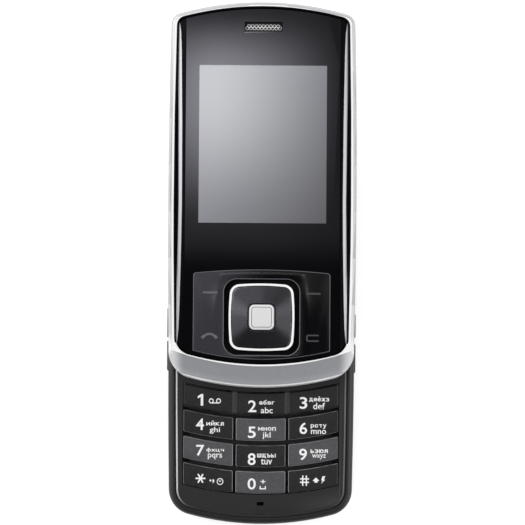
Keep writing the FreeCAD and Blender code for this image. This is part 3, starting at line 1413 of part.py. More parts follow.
def make_rear_cover():
    """Back plate of the upper half, with the long channel that the rails run in."""
    body = new_body("slide_rear_cover", "upper")
    outline_pad(body, FULL, UPPER_BOTTOM, "Sizes.rear_cover_thickness")
    round_edges(body, level_edges(body, UPPER_BOTTOM), "Sizes.rear_cover_rounding")
    low, high = f"({PLATE_LOW} - Sizes.channel_end_gap)", f"({PLATE_HIGH} + Sizes.channel_end_gap)"
    box_cut(body, f"(-{CHANNEL_HALF})", CHANNEL_HALF, low, high, UPPER_BOTTOM, "Sizes.rear_cover_thickness")
    return body


# ---------------------------------------------------------------- upper half: what it holds


def make_upper_parts():
    half = half_of("display_width")
    display = simple_box("display_module", "upper", f"(-{half})", half, DISPLAY_LOW, DISPLAY_HIGH,
                         DISPLAY_BOTTOM, "Sizes.display_thickness")
    half, low = UPPER_BOARD_HALF, from_end("Sizes.upper_board_from_end")
    board = simple_box("upper_board", "upper", f"(-{half})", half, low, from_top("upper_board_from_top"),
                       UPPER_BOARD_BOTTOM, "Sizes.upper_board_thickness")
    half, reach = half_of("earpiece_width"), half_of("earpiece_length")
    floor = f"({DECK_BOTTOM} - Sizes.seat_gap - Sizes.earpiece_height)"
    earpiece = simple_box("earpiece", "upper", f"(-{half})", half, f"({EAR_Y} - {reach})",
                          f"({EAR_Y} + {reach})", floor, "Sizes.earpiece_height")
    half = f"({half_of('slot_width')} - Sizes.mesh_play)"
    reach = f"({half_of('slot_length')} - Sizes.mesh_play)"
    mesh = simple_box("earpiece_mesh", "upper", f"(-{half})", half, f"({EAR_Y} - {reach})",
                      f"({EAR_Y} + {reach})", DECK_TOP, "Sizes.mesh_thickness")
    half = f"({UPPER_BOARD_HALF} - Sizes.key_play)"
    domes = simple_box("function_dome_sheet", "upper", f"(-{half})", half, f"({low} + Sizes.key_play)",
                       PANEL_HIGH, UPPER_BOARD_TOP, "Sizes.dome_thickness")
    screws = new_body("slide_screws", "upper")
    for x, y in SLIDE_SCREWS:
        head = f"({PLATE_BOTTOM} - Sizes.screw_head_height)"
        post_pad(screws, x, y, "Sizes.screw_head_radius", head, "Sizes.screw_head_height")
        length = f"({DECK_BOTTOM} - {PLATE_BOTTOM} - 4 * Sizes.seat_gap)"
        post_pad(screws, x, y, "Sizes.screw_radius", PLATE_BOTTOM, length)
    return [display, board, earpiece, mesh, domes, screws]


FUNCTION_BOTTOM = f"({DECK_TOP} + Sizes.panel_lift)"
FUNCTION_TOP = f"({WINDOW_TOP} - Sizes.panel_recess)"
STEM_BOTTOM = f"({UPPER_BOARD_TOP} + Sizes.dome_thickness + Sizes.stem_clearance)"


def make_function_keys():
    """Two rocking plates that meet on the centre line round the navigation key."""
    keys = []
    seam = half_of("panel_seam")
    for label, sign in (("left_function_key", "-1"), ("right_function_key", "1")):
        body = new_body(label, "upper")
        outside = f"({PANEL_HALF} - Sizes.panel_play)"
        left, right = (f"(-{outside})", f"(-{seam})") if sign == "-1" else (seam, outside)
        sketch = sketch_on(body, "XY_Plane", FUNCTION_BOTTOM)
        corners = draw_panel(sketch, "Sizes.panel_play", left, right)
        pad(body, sketch, f"({FUNCTION_TOP} - {FUNCTION_BOTTOM})")
        outer = corners[0] if sign == "-1" else corners[1]
        round_edges(body, upright_edges(body, [outer]), "Sizes.panel_corner")
        # Room for the navigation key
        reach = f"({half_of('nav_length')} + Sizes.moat_end_gap)"
        sketch = sketch_on(body, "XY_Plane", FUNCTION_BOTTOM)
        low, high = f"({NAV_Y} - {reach})", f"({NAV_Y} + {reach})"
        edge = f"({sign} * ({half_of('nav_width')} + Sizes.moat_side_gap))"
        near, far = (edge, WELL_CLEAR) if sign == "-1" else (f"(-{WELL_CLEAR})", edge)
        draw_rectangle(sketch, near, far, low, high)
        cut(body, sketch, "Sizes.window_thickness", upward=True)
        round_edges(body, upright_edges(body, [(edge, low), (edge, high)]), "Sizes.moat_corner")
        for side, x, y in STEMS:
            if side == sign:
                length = f"({FUNCTION_BOTTOM} - {STEM_BOTTOM})"
                post_pad(body, x, y, "Sizes.stem_radius", STEM_BOTTOM, length)
        keys.append(body)
    return keys


def nav_outline(inset, corner):
    """Rounded square with slightly full sides, about the navigation key's centre."""
    return Outline(
        side=f"({half_of('nav_width')} - Sizes.nav_bulge - {inset})",
        bow="Sizes.nav_bulge",
        top=f"({NAV_Y} + {half_of('nav_length')} - {inset})",
        bottom=f"({NAV_Y} - {half_of('nav_length')} + {inset})",
        top_crown="Sizes.nav_bulge",
        bottom_crown="Sizes.nav_bulge",
        top_corner=corner,
        bottom_corner=corner,
    )


NAV_BOTTOM = f"({DECK_TOP} + Sizes.nav_lift)"
NAV_TOP = f"({WINDOW_TOP} + Sizes.nav_proud)"


def make_navigation_key():
    inner_corner = "(Sizes.nav_corner - Sizes.nav_ring_width)"
    outer = nav_outline("0", "Sizes.nav_corner")
    inner = nav_outline("Sizes.nav_ring_width", inner_corner)
    ring = new_body("nav_ring", "upper")
    top = f"({NAV_TOP} + Sizes.nav_ring_proud)"
    pad(ring, ring_sketch(ring, NAV_BOTTOM, outer, inner), f"({top} - {NAV_BOTTOM})")
    round_edges(ring, level_edges(ring, top), "Sizes.nav_rounding")

    face = new_body("nav_key", "upper")
    outline_pad(face, inner, NAV_BOTTOM, f"({NAV_TOP} - {NAV_BOTTOM})")
    half = f"({half_of('ok_side')} + Sizes.ok_play)"
    sketch = sketch_on(face, "XY_Plane", NAV_BOTTOM)
    corners = [(f"(-{half})", f"({NAV_Y} - {half})"), (half, f"({NAV_Y} - {half})"),
               (half, f"({NAV_Y} + {half})"), (f"(-{half})", f"({NAV_Y} + {half})")]
    draw_polygon(sketch, corners)
    cut(face, sketch, "Sizes.window_thickness", upward=True)
    round_edges(face, upright_edges(face, corners), "(Sizes.ok_corner + Sizes.ok_play)")

    gimbal = new_body("nav_rubber", "upper")
    gimbal_top = f"({NAV_BOTTOM} - Sizes.ok_travel - Sizes.gimbal_gap)"
    floor = f"({gimbal_top} - Sizes.gimbal_height)"
    post_pad(gimbal, "0", NAV_Y, "Sizes.gimbal_radius", floor, "Sizes.gimbal_height")
    hole_cut(gimbal, "0", NAV_Y, "(Sizes.ok_stem_radius + Sizes.ok_stem_gap)", floor, "Sizes.gimbal_height")

    ok = new_body("ok_key", "upper")
    half = half_of("ok_side")
    top = f"({NAV_TOP} + Sizes.ok_proud)"
    corners = box_pad(ok, f"(-{half})", half, f"({NAV_Y} - {half})", f"({NAV_Y} + {half})", NAV_BOTTOM,
                      f"({top} - {NAV_BOTTOM})")
    round_edges(ok, upright_edges(ok, corners), "Sizes.ok_corner")
    bevel_edges(ok, level_edges(ok, top), "Sizes.ok_bevel")
    post_pad(ok, "0", NAV_Y, "Sizes.ok_stem_radius", STEM_BOTTOM, f"({NAV_BOTTOM} - {STEM_BOTTOM})")
    return [ring, face, gimbal, ok]


# ---------------------------------------------------------------- the whole phone


def make_phone():
    pieces = [make_rear_case(), make_battery_cover(), make_keypad_case(), make_keypad_trim_line()]
    pieces += make_boards_and_cans()
    pieces += [make_battery(), make_battery_contacts(), make_sim_holder()]
    pieces += make_camera()
    pieces += make_speaker()
    pieces += [make_motor()]
    pieces += make_microphone_and_aerial()
    pieces += [make_case_screws(), make_side_switches()]
    pieces += make_number_keys()
    pieces += make_side_keys()
    pieces += [make_guide_plate(), make_guide_shoes(), make_guide_plate_screws(), make_slide_plate()]
    pieces += make_spring_pins()
    pieces += [make_slide_spring("slide_spring_left", -1), make_slide_spring("slide_spring_right", 1)]
    pieces += [make_flex_cable(), make_slide_frame(), make_front_window(), make_rear_cover()]
    pieces += make_upper_parts()
    pieces += make_function_keys()
    pieces += make_navigation_key()
    return pieces


def check_and_write(pieces):
    """Every object has to be up to date and every piece sound before any file is written."""
    doc.recompute()
    for item in doc.Objects:
        if "Invalid" in item.State or "Error" in item.State:
            raise RuntimeError(f"{item.Name} failed: {item.State}")
    labels = [piece.Label for piece in pieces]
    if len(labels) != len(set(labels)) or len(labels) > MOST_NODES:
        raise RuntimeError("labels repeat, or there are too many pieces")
    for piece in pieces:
        if piece.Shape.isNull() or not piece.Shape.isValid() or piece.Shape.Volume <= 0:
            raise RuntimeError(f"{piece.Label} has no sound shape")
    os.makedirs("parts", exist_ok=True)
    for piece in pieces:
        piece.Shape.exportStep(f"parts/{piece.Label}.step")
        solids = len(piece.Shape.Solids)
        print(f"{piece.Label:22s} {solids} solids, {piece.Shape.Volume:9.2f} mm3")
    print(f"{len(pieces)} nodes")


check_and_write(make_phone())
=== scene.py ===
import math

import bmesh
import bpy
from bpy.props import FloatProperty, FloatVectorProperty, IntProperty, PointerProperty
from mathutils import Matrix, Vector
from mathutils.bvhtree import BVHTree


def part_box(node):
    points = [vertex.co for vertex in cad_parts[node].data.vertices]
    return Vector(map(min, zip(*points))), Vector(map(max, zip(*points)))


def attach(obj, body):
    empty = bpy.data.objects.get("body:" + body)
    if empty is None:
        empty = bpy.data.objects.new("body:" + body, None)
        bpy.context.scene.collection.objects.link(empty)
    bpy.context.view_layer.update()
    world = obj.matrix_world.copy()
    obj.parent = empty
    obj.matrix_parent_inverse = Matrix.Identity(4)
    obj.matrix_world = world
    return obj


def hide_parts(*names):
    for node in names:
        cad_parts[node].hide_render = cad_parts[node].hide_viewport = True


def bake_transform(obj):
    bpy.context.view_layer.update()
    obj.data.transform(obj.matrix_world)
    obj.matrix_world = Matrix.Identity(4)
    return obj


# Looks of the slider phone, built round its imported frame. Lengths are metres, written as
# millimetres times MM. X runs across the phone, +Y towards its earpiece and +Z out of its screen.

bl_info = {
    "name": "Slider phone looks",
    "version": (1, 0, 0),
    "blender": (4, 5, 0),
    "location": "3D View > Sidebar > Phone",
    "description": "Finishes, printed legends and small parts of a slider phone",
    "category": "Object",
}

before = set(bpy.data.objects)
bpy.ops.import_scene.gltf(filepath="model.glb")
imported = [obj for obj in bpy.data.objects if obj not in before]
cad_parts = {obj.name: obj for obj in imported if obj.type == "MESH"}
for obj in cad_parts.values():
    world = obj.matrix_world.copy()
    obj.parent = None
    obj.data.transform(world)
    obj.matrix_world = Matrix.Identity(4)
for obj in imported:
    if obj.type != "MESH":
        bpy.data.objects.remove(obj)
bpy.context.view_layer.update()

MM = 0.001
FRAME_PIXELS = 525
SENSOR_WIDTH = 36.0
# Points closer than this are one point, and heights closer than the second are one level
SAME = 1e-6
LEVEL = 20 * SAME
# Angles in degrees: faces within the first are one flat face, edges past the second are sharp, and
# the rim's coarse outer rounding has no edge past the third
FLAT_ANGLE = 0.4
SHARP_ANGLE = 32
ROUNDING_ANGLE = 60
# An edge between a flat top and an upright wall turns by more than this, in radians
UPRIGHT = 1
SIDES = (-1, 1)
LAMP_SIZE = 0.5


# ---------------------------------------------------------------- settings


def linear(code):
    """A colour written as #rrggbb, as the linear values that shaders take."""
    parts = [int(code[place:place + 2], 16) / 255 for place in (1, 3, 5)]
    return [part / 12.92 if part <= 0.04045 else ((part + 0.055) / 1.055) ** 2.4 for part in parts]


def colour(name, description, code):
    return FloatVectorProperty(
        name=name, description=description, default=linear(code), size=3,
        subtype="COLOR", min=0, max=1,
    )


def length(name, description, default):
    return FloatProperty(
        name=name, description=description, default=default, min=0,
        subtype="DISTANCE", unit="LENGTH", precision=5,
    )


def amount(name, description, default):
    return FloatProperty(name=name, description=description, default=default, min=0)


def angle(name, description, degrees):
    return FloatProperty(
        name=name, description=description, default=math.radians(degrees),
        subtype="ANGLE", unit="ROTATION",
    )


class PhoneColours(bpy.types.PropertyGroup):
    rim: colour("Rim", "Silver lacquer of the rim round the screen", "#c6c7ca")
    # The chin's darker tone is painted shade: the rim's own lacquer, darker where its slope turns
    # away from the light
    chin: colour("Chin", "Blasted lacquer of the sloping chin", "#a0a1a6")
    case: colour("Case", "Moulded shells of the lower half", "#131315")
    keys: colour("Keys", "Number keys", "#1a1a1c")
    pale_keys: colour("Pale keys", "Number keys 5, 7, 9 and 0", "#48484b")
    window: colour("Window", "Back-painted front window", "#050507")
    display_dark: colour("Display, dark corner", "Unlit display, lower right", "#434348")
    # The pale corner is a painted sheen on the unlit display
    display_pale: colour("Display, pale corner", "Unlit display, upper left", "#a1a3ab")
    legends: colour("Legends", "Printing on the number keys", "#f2f2f2")
    icons: colour("Icons", "Dim printing on the function keys", "#5c5c62")
    # The left plate's paler tone is a painted sheen; the right plate's is the plates' own dark
    left_plate: colour("Left function key", "Satin plate left of the navigation key", "#36363b")
    right_plate: colour("Right function key", "Satin plate right of the navigation key", "#060609")
    floor: colour("Floor", "Table that the phone lies on", "#e6e6e6")


class PhoneSizes(bpy.types.PropertyGroup):
    case_edge: length("Case edge", "Softening of the moulded edges", 0.08 * MM)
    key_edge: length("Key edge", "Softening of the side keys", 0.15 * MM)
    key_border: length("Key border", "Sloping border round the face of a key", 0.25 * MM)
    key_shade: length("Key shade", "Dark upper slope of the first row of keys", 0.75 * MM)
    steel_edge: length("Steel edge", "Softening of stamped steel", 0.04 * MM)
    ok_edge: length("Middle key edge", "Softening of the navigation key's middle", 0.03 * MM)
    print_height: length("Print height", "How far printing stands on its face", 0.012 * MM)
    print_depth: length("Print depth", "How far printing reaches into its face", 0.03 * MM)
    display_width: length("Display width", "Lit area of the display, across", 31.5 * MM)
    display_length: length("Display length", "Lit area of the display, along", 39.0 * MM)
    facet_roll: length("Facet roll", "Round between the window and its side facets", 0.2 * MM)
    groove_pitch: length("Groove pitch", "Turned grooves of the navigation key", 0.3 * MM)
    groove_depth: length("Groove depth", "Depth of the turned grooves", 0.048 * MM)
    mesh_pitch: length("Mesh pitch", "Holes of the earpiece grille", 0.9 * MM)
    socket_radius: length("Socket radius", "Recess in the screw heads", 0.75 * MM)


class PhoneStage(bpy.types.PropertyGroup):
    distance: length("Camera distance", "From the phone to the camera", 500 * MM)
    pixels_per_slope: amount("Focal length in pixels", "Image pixels for a slope of one", 2008.7)
    tilt: angle("Camera tilt", "Lean of the camera towards the number keys", 1.95)
    roll: angle("Camera roll", "Turn of the camera about its view", 0.41)
    key_power: amount("Key light", "Watts of the large soft lamp", 2.2)
    fill_power: amount("Fill light", "Watts of the lamp on the other side", 1.2)
    ambient: amount("Ambient", "Even light from all round", 0.62)
    turns: IntProperty(
        name="Turned steps", description="Steps round a full turn", default=128, min=16)


def settings():
    scene = bpy.context.scene
    return scene.phone_colours, scene.phone_sizes, scene.phone_stage


# ---------------------------------------------------------------- materials


def add_node(tree, kind, inputs=None, **chosen):
    """Adds a shader node and gives its outputs. An input is given a value or a socket to link."""
    made = tree.nodes.new("ShaderNode" + kind)
    for name, value in chosen.items():
        setattr(made, name, value)
    for name, value in (inputs or {}).items():
        if isinstance(value, bpy.types.NodeSocket):
            tree.links.new(value, made.inputs[name])
        else:
            made.inputs[name].default_value = value
    return made.outputs


# The Wave texture has 20 waves to 2 pi units at a scale of one
WAVES_PER_UNIT = 20
# Sockets of the Mix node when it mixes colours
MIX_FACTOR, MIX_FIRST, MIX_SECOND, MIX_RESULT = 0, 6, 7, 2


def tone_of(name):
    """A colour given as #rrggbb, or by its name among the panel's colours."""
    colours, _, _ = settings()
    return linear(name) if name[0] == "#" else getattr(colours, name)


def shade(name, factor=1.0):
    return (*[min(1.0, part * factor) for part in tone_of(name)], 1.0)


def new_material(name, **surface):
    """A material with its even surface values on the shader, and Object coordinates ready."""
    material = bpy.data.materials.new(name)
    material.use_nodes = True
    tree = material.node_tree
    shader = tree.nodes["Principled BSDF"]
    for socket, value in surface.items():
        shader.inputs[socket.replace("_", " ")].default_value = value
    place = add_node(tree, "TexCoord")["Object"]
    return material, tree, shader, place


def finish_surface(tree, shader, tone, pattern, roughness, relief=None, depth=0.0):
    """Gives a shader its tone, a roughness that follows a pattern, and a relief of some depth."""
    low, high = roughness
    rough = add_node(tree, "MapRange", {"Value": pattern, "To Min": low, "To Max": high})["Result"]
    tree.links.new(tone, shader.inputs["Base Color"])
    tree.links.new(rough, shader.inputs["Roughness"])
    if relief is not None:
        bump = add_node(tree, "Bump", {"Height": relief, "Distance": depth})["Normal"]
        tree.links.new(bump, shader.inputs["Normal"])


def grained(name, tone, roughness, grain, depth, contrast=0.12, spread=0.06,
            stretch=(1, 1, 1), fades=(), **surface):
    """A surface with a fine grain: its size and depth in millimetres, and how much it varies.

    Each fade gives one more tone and, for each axis, the places between which it takes over.
    """
    material, tree, shader, place = new_material(name, **surface)
    laid = add_node(tree, "Mapping", {"Vector": place, "Scale": stretch})[0]
    speckle = add_node(tree, "TexNoise", {
        "Vector": laid, "Scale": 1 / (grain * MM), "Detail": 3.0, "Roughness": 0.6,
    })["Fac"]
    # The noise stays near its middle, so only that part of it is spread out
    lowest, highest = 0.3, 0.7
    spots = add_node(tree, "MapRange", {
        "Value": speckle, "From Min": lowest, "From Max": highest,
    })["Result"]
    mixed = None
    for fade in ({"tone": tone}, *fades):
        spans = dict(fade)
        shown = spans.pop("tone")
        varied = add_node(tree, "Mix", {
            MIX_FACTOR: spots, MIX_FIRST: shade(shown, 1 - contrast),
            MIX_SECOND: shade(shown, 1 + contrast),
        }, data_type="RGBA")[MIX_RESULT]
        mixed = varied if mixed is None else add_node(tree, "Mix", {
            MIX_FACTOR: share_of(tree, place, spans), MIX_FIRST: mixed, MIX_SECOND: varied,
        }, data_type="RGBA")[MIX_RESULT]
    finish_surface(tree, shader, mixed, spots, (roughness - spread, roughness + spread),
                   speckle, depth * MM)
    return material


def share_of(tree, place, spans):
    """How far a tone has taken over, from the places where it starts and ends along each axis."""
    apart = add_node(tree, "SeparateXYZ", {"Vector": place})
    share = None
    for axis, (start, end) in spans.items():
        value = apart[axis[0]]
        if axis == "X_size":
            value = add_node(tree, "Math", {0: value}, operation="ABSOLUTE")[0]
        step = add_node(tree, "MapRange", {
            "Value": value, "From Min": start * MM, "From Max": end * MM,
        }, interpolation_type="SMOOTHSTEP")["Result"]
        share = step if share is None else add_node(
            tree, "Math", {0: share, 1: step}, operation="MULTIPLY")[0]
    return share


def unlit_display():
    """Polariser film over an unlit display: grey, with a painted sheen paler towards one corner,
    under clear glass.
    """
    material, tree, shader, place = new_material(
        "polariser_film_display", Metallic=0.0, Coat_Weight=1.0, Coat_Roughness=0.02)
    low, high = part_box("display_module")
    # The share of each direction in the painted sheen's change of tone, and the display's rows of
    # cells
    share_across, share_along, row_pitch, row_contrast = 0.55, 0.45, 0.22 * MM, 0.012
    apart = add_node(tree, "SeparateXYZ", {"Vector": place})
    across = add_node(tree, "MapRange", {
        "Value": apart["X"], "From Min": high.x, "From Max": low.x, "To Max": share_across,
    })["Result"]
    along = add_node(tree, "MapRange", {
        "Value": apart["Y"], "From Min": low.y, "From Max": high.y, "To Max": share_along,
    })["Result"]
    both = add_node(tree, "Math", {0: across, 1: along})[0]
    cells = add_node(tree, "TexWave", {
        "Vector": place, "Scale": math.tau / (WAVES_PER_UNIT * row_pitch),
    }, wave_type="BANDS", bands_direction="Y")["Fac"]
    fine = add_node(tree, "MapRange", {
        "Value": cells, "To Min": -row_contrast, "To Max": row_contrast,
    })["Result"]
    level = add_node(tree, "Math", {0: both, 1: fine}, use_clamp=True)[0]
    mixed = add_node(tree, "Mix", {
        MIX_FACTOR: level, MIX_FIRST: shade("display_dark"), MIX_SECOND: shade("display_pale"),
    }, data_type="RGBA")[MIX_RESULT]
    finish_surface(tree, shader, mixed, cells, (0.42, 0.48))
    return material


def circuit_board():
    """Glass-epoxy board under green solder mask, with copper tracks that show as paler lines."""
    cell, unevenness, relief = 1.6 * MM, 0.35, 0.02 * MM
    material, tree, shader, place = new_material("solder_masked_glass_epoxy", Coat_Weight=0.4)
    tracks = add_node(tree, "TexVoronoi", {
        "Vector": place, "Scale": 1 / cell, "Randomness": unevenness,
    }, feature="DISTANCE_TO_EDGE", distance="EUCLIDEAN")["Distance"]
    lines = add_node(tree, "MapRange", {
        "Value": tracks, "From Min": 0.05, "From Max": 0.09, "To Min": 1.0, "To Max": 0.0,
    })["Result"]
    mixed = add_node(tree, "Mix", {
        MIX_FACTOR: lines, MIX_FIRST: shade("#0a2014"), MIX_SECOND: shade("#16402a"),
    }, data_type="RGBA")[MIX_RESULT]
    finish_surface(tree, shader, mixed, lines, (0.35, 0.5), lines, relief)
    return material


# Each finish: its name, its tone (#rrggbb or one of the panel's colours), its roughness, its grain
# and the grain's depth in millimetres, and how much its tone and its roughness vary. A grain too
# fine for the picture is drawn as coarse as it needs to show.
FINISHES = {
    # Moulded in a spark-eroded tool: an even matt grain that dulls every reflection
    "case": ("spark_eroded_abs_case", "case", 0.42, 0.16, 0.004, 0.16),
    # The same plastic with a coarser grain against finger marks: duller still
    "back": ("spark_eroded_abs_back", "#1d1d1f", 0.5, 0.2, 0.008, 0.2),
    # Pressed with a cloth-like grain: a faint weave that breaks up the lamps
    "key": ("pressed_polycarbonate_key", "keys", 0.42, 0.5, 0.01, 0.3),
    "pale_key": ("pressed_polycarbonate_pale_key", "pale_keys", 0.44, 0.5, 0.01, 0.2),
    # Smoother plastic than the case round it: a slightly clearer sheen
    "side_key": ("moulded_abs_side_key", "#232325", 0.38, 0.12, 0.003, 0.12),
    # Silver lacquer with tiny flakes: pale, and bright along its rounded edges
    "rim": ("silver_lacquered_rim", "rim", 0.3, 0.14, 0.002, 0.04, 0.05),
    # Painted highlight: a nearly white line inside the rim and along the chin's foot, also on the
    # bright ring, the middle key's border and the keys' left-leaning borders
    "lip": ("bright_cut_rim_edge", "#fbfbfb", 0.3, 0.3, 0.0005, 0.01, 0.04),
    # Painted shade: a near-black wall down in a gap, so the gap is a dark line; also the first row's
    # upper key edges, the middle key's groove and the microphone
    "gap": ("blackened_inner_wall", "#020203", 0.7, 0.3, 0.001),
    # Silver paint on a narrow ring, with painted shade: pale on the left, darker towards the right
    # and towards the phone's foot
    "silver": ("silver_painted_ring", "#e6e7e9", 0.28, 0.2, 0.0006, 0.03, 0.05),
    # Edges of the keys, painted pale as the highlight their sloping borders catch
    "key_edge": ("rubbed_polycarbonate_edge", "#dcdce0", 0.25, 0.2, 0.001, 0.1),
    # Clear acrylic painted black behind: a deep black mirror, faintly violet
    "window": ("back_painted_acrylic_window", "window", 0.03, 6.0, 0.0002, 0.1, 0.01),
    # The window's masked side facets: black at every angle
    "side": ("masked_acrylic_facet", "#030304", 0.2, 0.5, 0.0003, 0.1, 0.03),
    # Eased lower edge of the earpiece slot, painted grey as a soft highlight line
    "slot_edge": ("moulded_slot_edge", "#808084", 0.45, 0.2, 0.0005, 0.1),
    # Strip in each side facet, painted as the bright reflection the facet shows: soft metal, with
    # painted shade towards its outer edge
    "facet": ("silvered_acrylic_facet", "#b2b2b8", 0.22, 0.4, 0.0003, 0.03, 0.04),
    # Satin acrylic of the function keys: a low painted sheen, paler on the left and darker towards
    # the right
    "plate": ("satin_acrylic_plate", "left_plate", 0.16, 0.5, 0.0003, 0.08, 0.03),
    # Edge of those plates, painted grey as a thin highlight outline
    "plate_edge": ("polished_acrylic_edge", "#606066", 0.2, 0.5, 0.0003, 0.08),
    # Turned aluminium: its grooves spread each highlight into wedges
    "turned": ("turned_anodised_aluminium", "#55555a", 0.14, 0.25, 0.0003, 0.1, 0.04),
    # Dark anodised aluminium under it: satin, nearly black; also painted on the bright ring's steep
    # sides as shade
    "nav_edge": ("anodised_aluminium_plate", "#17171a", 0.3, 0.2, 0.0008, 0.1, 0.05),
    # Satin nickel of the middle key: an even, pale metal
    "ok": ("satin_nickel_key", "#eeeeef", 0.32, 0.12, 0.0008, 0.04, 0.05),
    # Screen-printed inks: slightly raised, flat in tone, with a soft sheen
    "legend": ("screen_printed_white_ink", "legends", 0.5, 0.1, 0.0005, 0.03),
    "icon": ("screen_printed_grey_ink", "icons", 0.45, 0.1, 0.0005, 0.06),
    # Nickel-plated sheet steel, rolled along the phone: fine scratches along Y
    "steel": ("nickel_plated_sheet_steel", "#a7a9aa", 0.3, 0.08, 0.0015, 0.12, 0.08),
    # Black zinc plating: a dark metal with pale worn spots
    "screw": ("black_zinc_screw", "#3a3b3d", 0.32, 0.1, 0.001, 0.15, 0.08),
    # Drawn wire: a bright line along each bend
    "spring": ("drawn_music_wire", "#8f9193", 0.25, 0.15, 0.001, 0.1, 0.06),
    # Moulded acetal: waxy white
    "shoe": ("moulded_acetal_shoe", "#dcdcd6", 0.4, 0.3, 0.002, 0.04),
    # Pressed steel links of the grilles: pale dots over dark cloth
    "mesh": ("pressed_steel_grille", "#f4f4f6", 0.3, 0.2, 0.001, 0.1, 0.08),
    # Woven acoustic cloth: black and quite dull
    "cloth": ("acoustic_cloth", "#0d0d0e", 0.8, 0.12, 0.01, 0.3),
    # Tinned steel: pale and slightly blotched
    "can": ("tinned_steel_can", "#b4b4b0", 0.33, 0.5, 0.001, 0.08, 0.06),
    # Polyester film: cream, with a clear gloss
    "dome": ("polyester_dome_film", "#c9c6b8", 0.3, 0.6, 0.001, 0.05),
    # Moulded silicone: black and soft, without a clear highlight
    "mat": ("silicone_key_mat", "#0e0e0f", 0.55, 0.4, 0.004, 0.1),
    "rubber": ("moulded_silicone_gimbal", "#070708", 0.6, 0.3, 0.004, 0.1),
    # Printed plastic wrap: smooth grey with a slight wave
    "battery": ("printed_battery_wrap", "#4b4e54", 0.4, 0.8, 0.002, 0.06),
    # Moulded PBT: plain satin black
    "contact": ("moulded_pbt_contact_block", "#1a1a1a", 0.5, 0.2, 0.003, 0.1),
    # Moulded camera barrel: a fine dark grain round the lens
    "camera": ("moulded_camera_barrel", "#101012", 0.35, 0.15, 0.002, 0.1),
    # Coated glass: dark blue under one sharp highlight
    "lens": ("coated_lens_glass", "#0b0d18", 0.02, 3.0, 0.0001, 0.2, 0.01),
    # Polyimide film over copper: clear amber
    "flex": ("polyimide_flex_cable", "#b0692a", 0.35, 0.5, 0.001, 0.1),
    # Silver paint on the slide's back: duller than the rim
    "silver_back": ("silver_painted_back_cover", "#c9cacd", 0.38, 0.12, 0.002, 0.05, 0.05),
}
# What else is on a surface. A fade names a second tone and where, in millimetres, it takes over.
EXTRAS = {
    "key": {"Specular_IOR_Level": 0.35},
    # The rim's corners are paler, a painted highlight, and the chin's darker tone, a painted shade,
    # takes over below the window and inwards
    "rim": {"Metallic": 0.3, "Coat_Weight": 0.2, "Coat_Roughness": 0.2, "fades": (
        {"tone": "#eeeef0", "Y": (-17.0, -20.5)},
        {"tone": "chin", "Y": (-17.5, -19.6), "X_size": (22.2, 18.9)},
    )},
    "gap": {"Specular_IOR_Level": 0.1},
    "silver": {"Metallic": 0.35, "fades": (
        {"tone": "#77777a", "X": (8.0, 19.0)}, {"tone": "#38383a", "Y": (-55.0, -61.0)},
    )},
    "key_edge": {"Metallic": 0.5},
    "window": {"Specular_Tint": (0.9, 0.89, 1.0, 1.0)},
    "side": {"Specular_IOR_Level": 0.03},
    "facet": {"Metallic": 0.3, "fades": (
        {"tone": "#1c1c1e", "X_size": (20.4, 21.1), "Y": (-10.0, 0.0)},
    )},
    "plate": {"Specular_IOR_Level": 0.3, "fades": ({"tone": "right_plate", "X": (-12.0, 2.0)},)},
    "turned": {"Metallic": 0.95},
    "nav_edge": {"Metallic": 0.6},
    "ok": {"Metallic": 0.35},
    # The grey ink is paler on the left, a painted sheen like the plates', and darker towards the
    # right
    "icon": {"fades": ({"tone": "#38383c", "X": (-4.0, 4.0)},)},
    "steel": {"Metallic": 1.0, "stretch": (1, 0.05, 1)},
    "screw": {"Metallic": 1.0},
    "spring": {"Metallic": 1.0},
    "mesh": {"Metallic": 0.3},
    "can": {"Metallic": 1.0},
    "dome": {"Coat_Weight": 0.3},
    "lens": {"Coat_Weight": 1.0, "Coat_Roughness": 0.0},
    "flex": {"Coat_Weight": 0.4},
    "silver_back": {"Metallic": 0.4},
}
MATERIALS = {}


def make_materials():
    for key, finish in FINISHES.items():
        MATERIALS[key] = grained(*finish, **EXTRAS.get(key, {}))
    MATERIALS["display"] = unlit_display()
    MATERIALS["board"] = circuit_board()


# ---------------------------------------------------------------- pieces


def as_piece(piece, body, slot, *nodes):
    """Puts a finished object on its body and hides the plain pieces that it stands for. The slot is
    not used.
    """
    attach(piece, body)
    if nodes:
        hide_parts(*nodes)
    return piece


def object_from(bm, name, *finishes, sharp=SHARP_ANGLE):
    """An object from a finished bmesh, with its materials and smooth faces between sharp edges."""
    mesh = bpy.data.meshes.new(name)
    for face in bm.faces:
        face.smooth = True
    bm.to_mesh(mesh)
    bm.free()
    mesh.set_sharp_from_angle(angle=math.radians(sharp))
    for key in finishes:
        mesh.materials.append(MATERIALS[key])
    piece = bpy.data.objects.new(name, mesh)
    bpy.context.scene.collection.objects.link(piece)
    return piece


def merged_copy(node):
    """A bmesh of a plain piece, with its loose triangles joined and its flat faces made whole."""
    bm = bmesh.new()
    bm.from_mesh(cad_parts[node].data)
    for face in bm.faces:
        face.material_index = 0
    bmesh.ops.remove_doubles(bm, verts=bm.verts, dist=SAME)
    bmesh.ops.dissolve_limit(
        bm, angle_limit=math.radians(FLAT_ANGLE), verts=bm.verts, edges=bm.edges)
    return bm


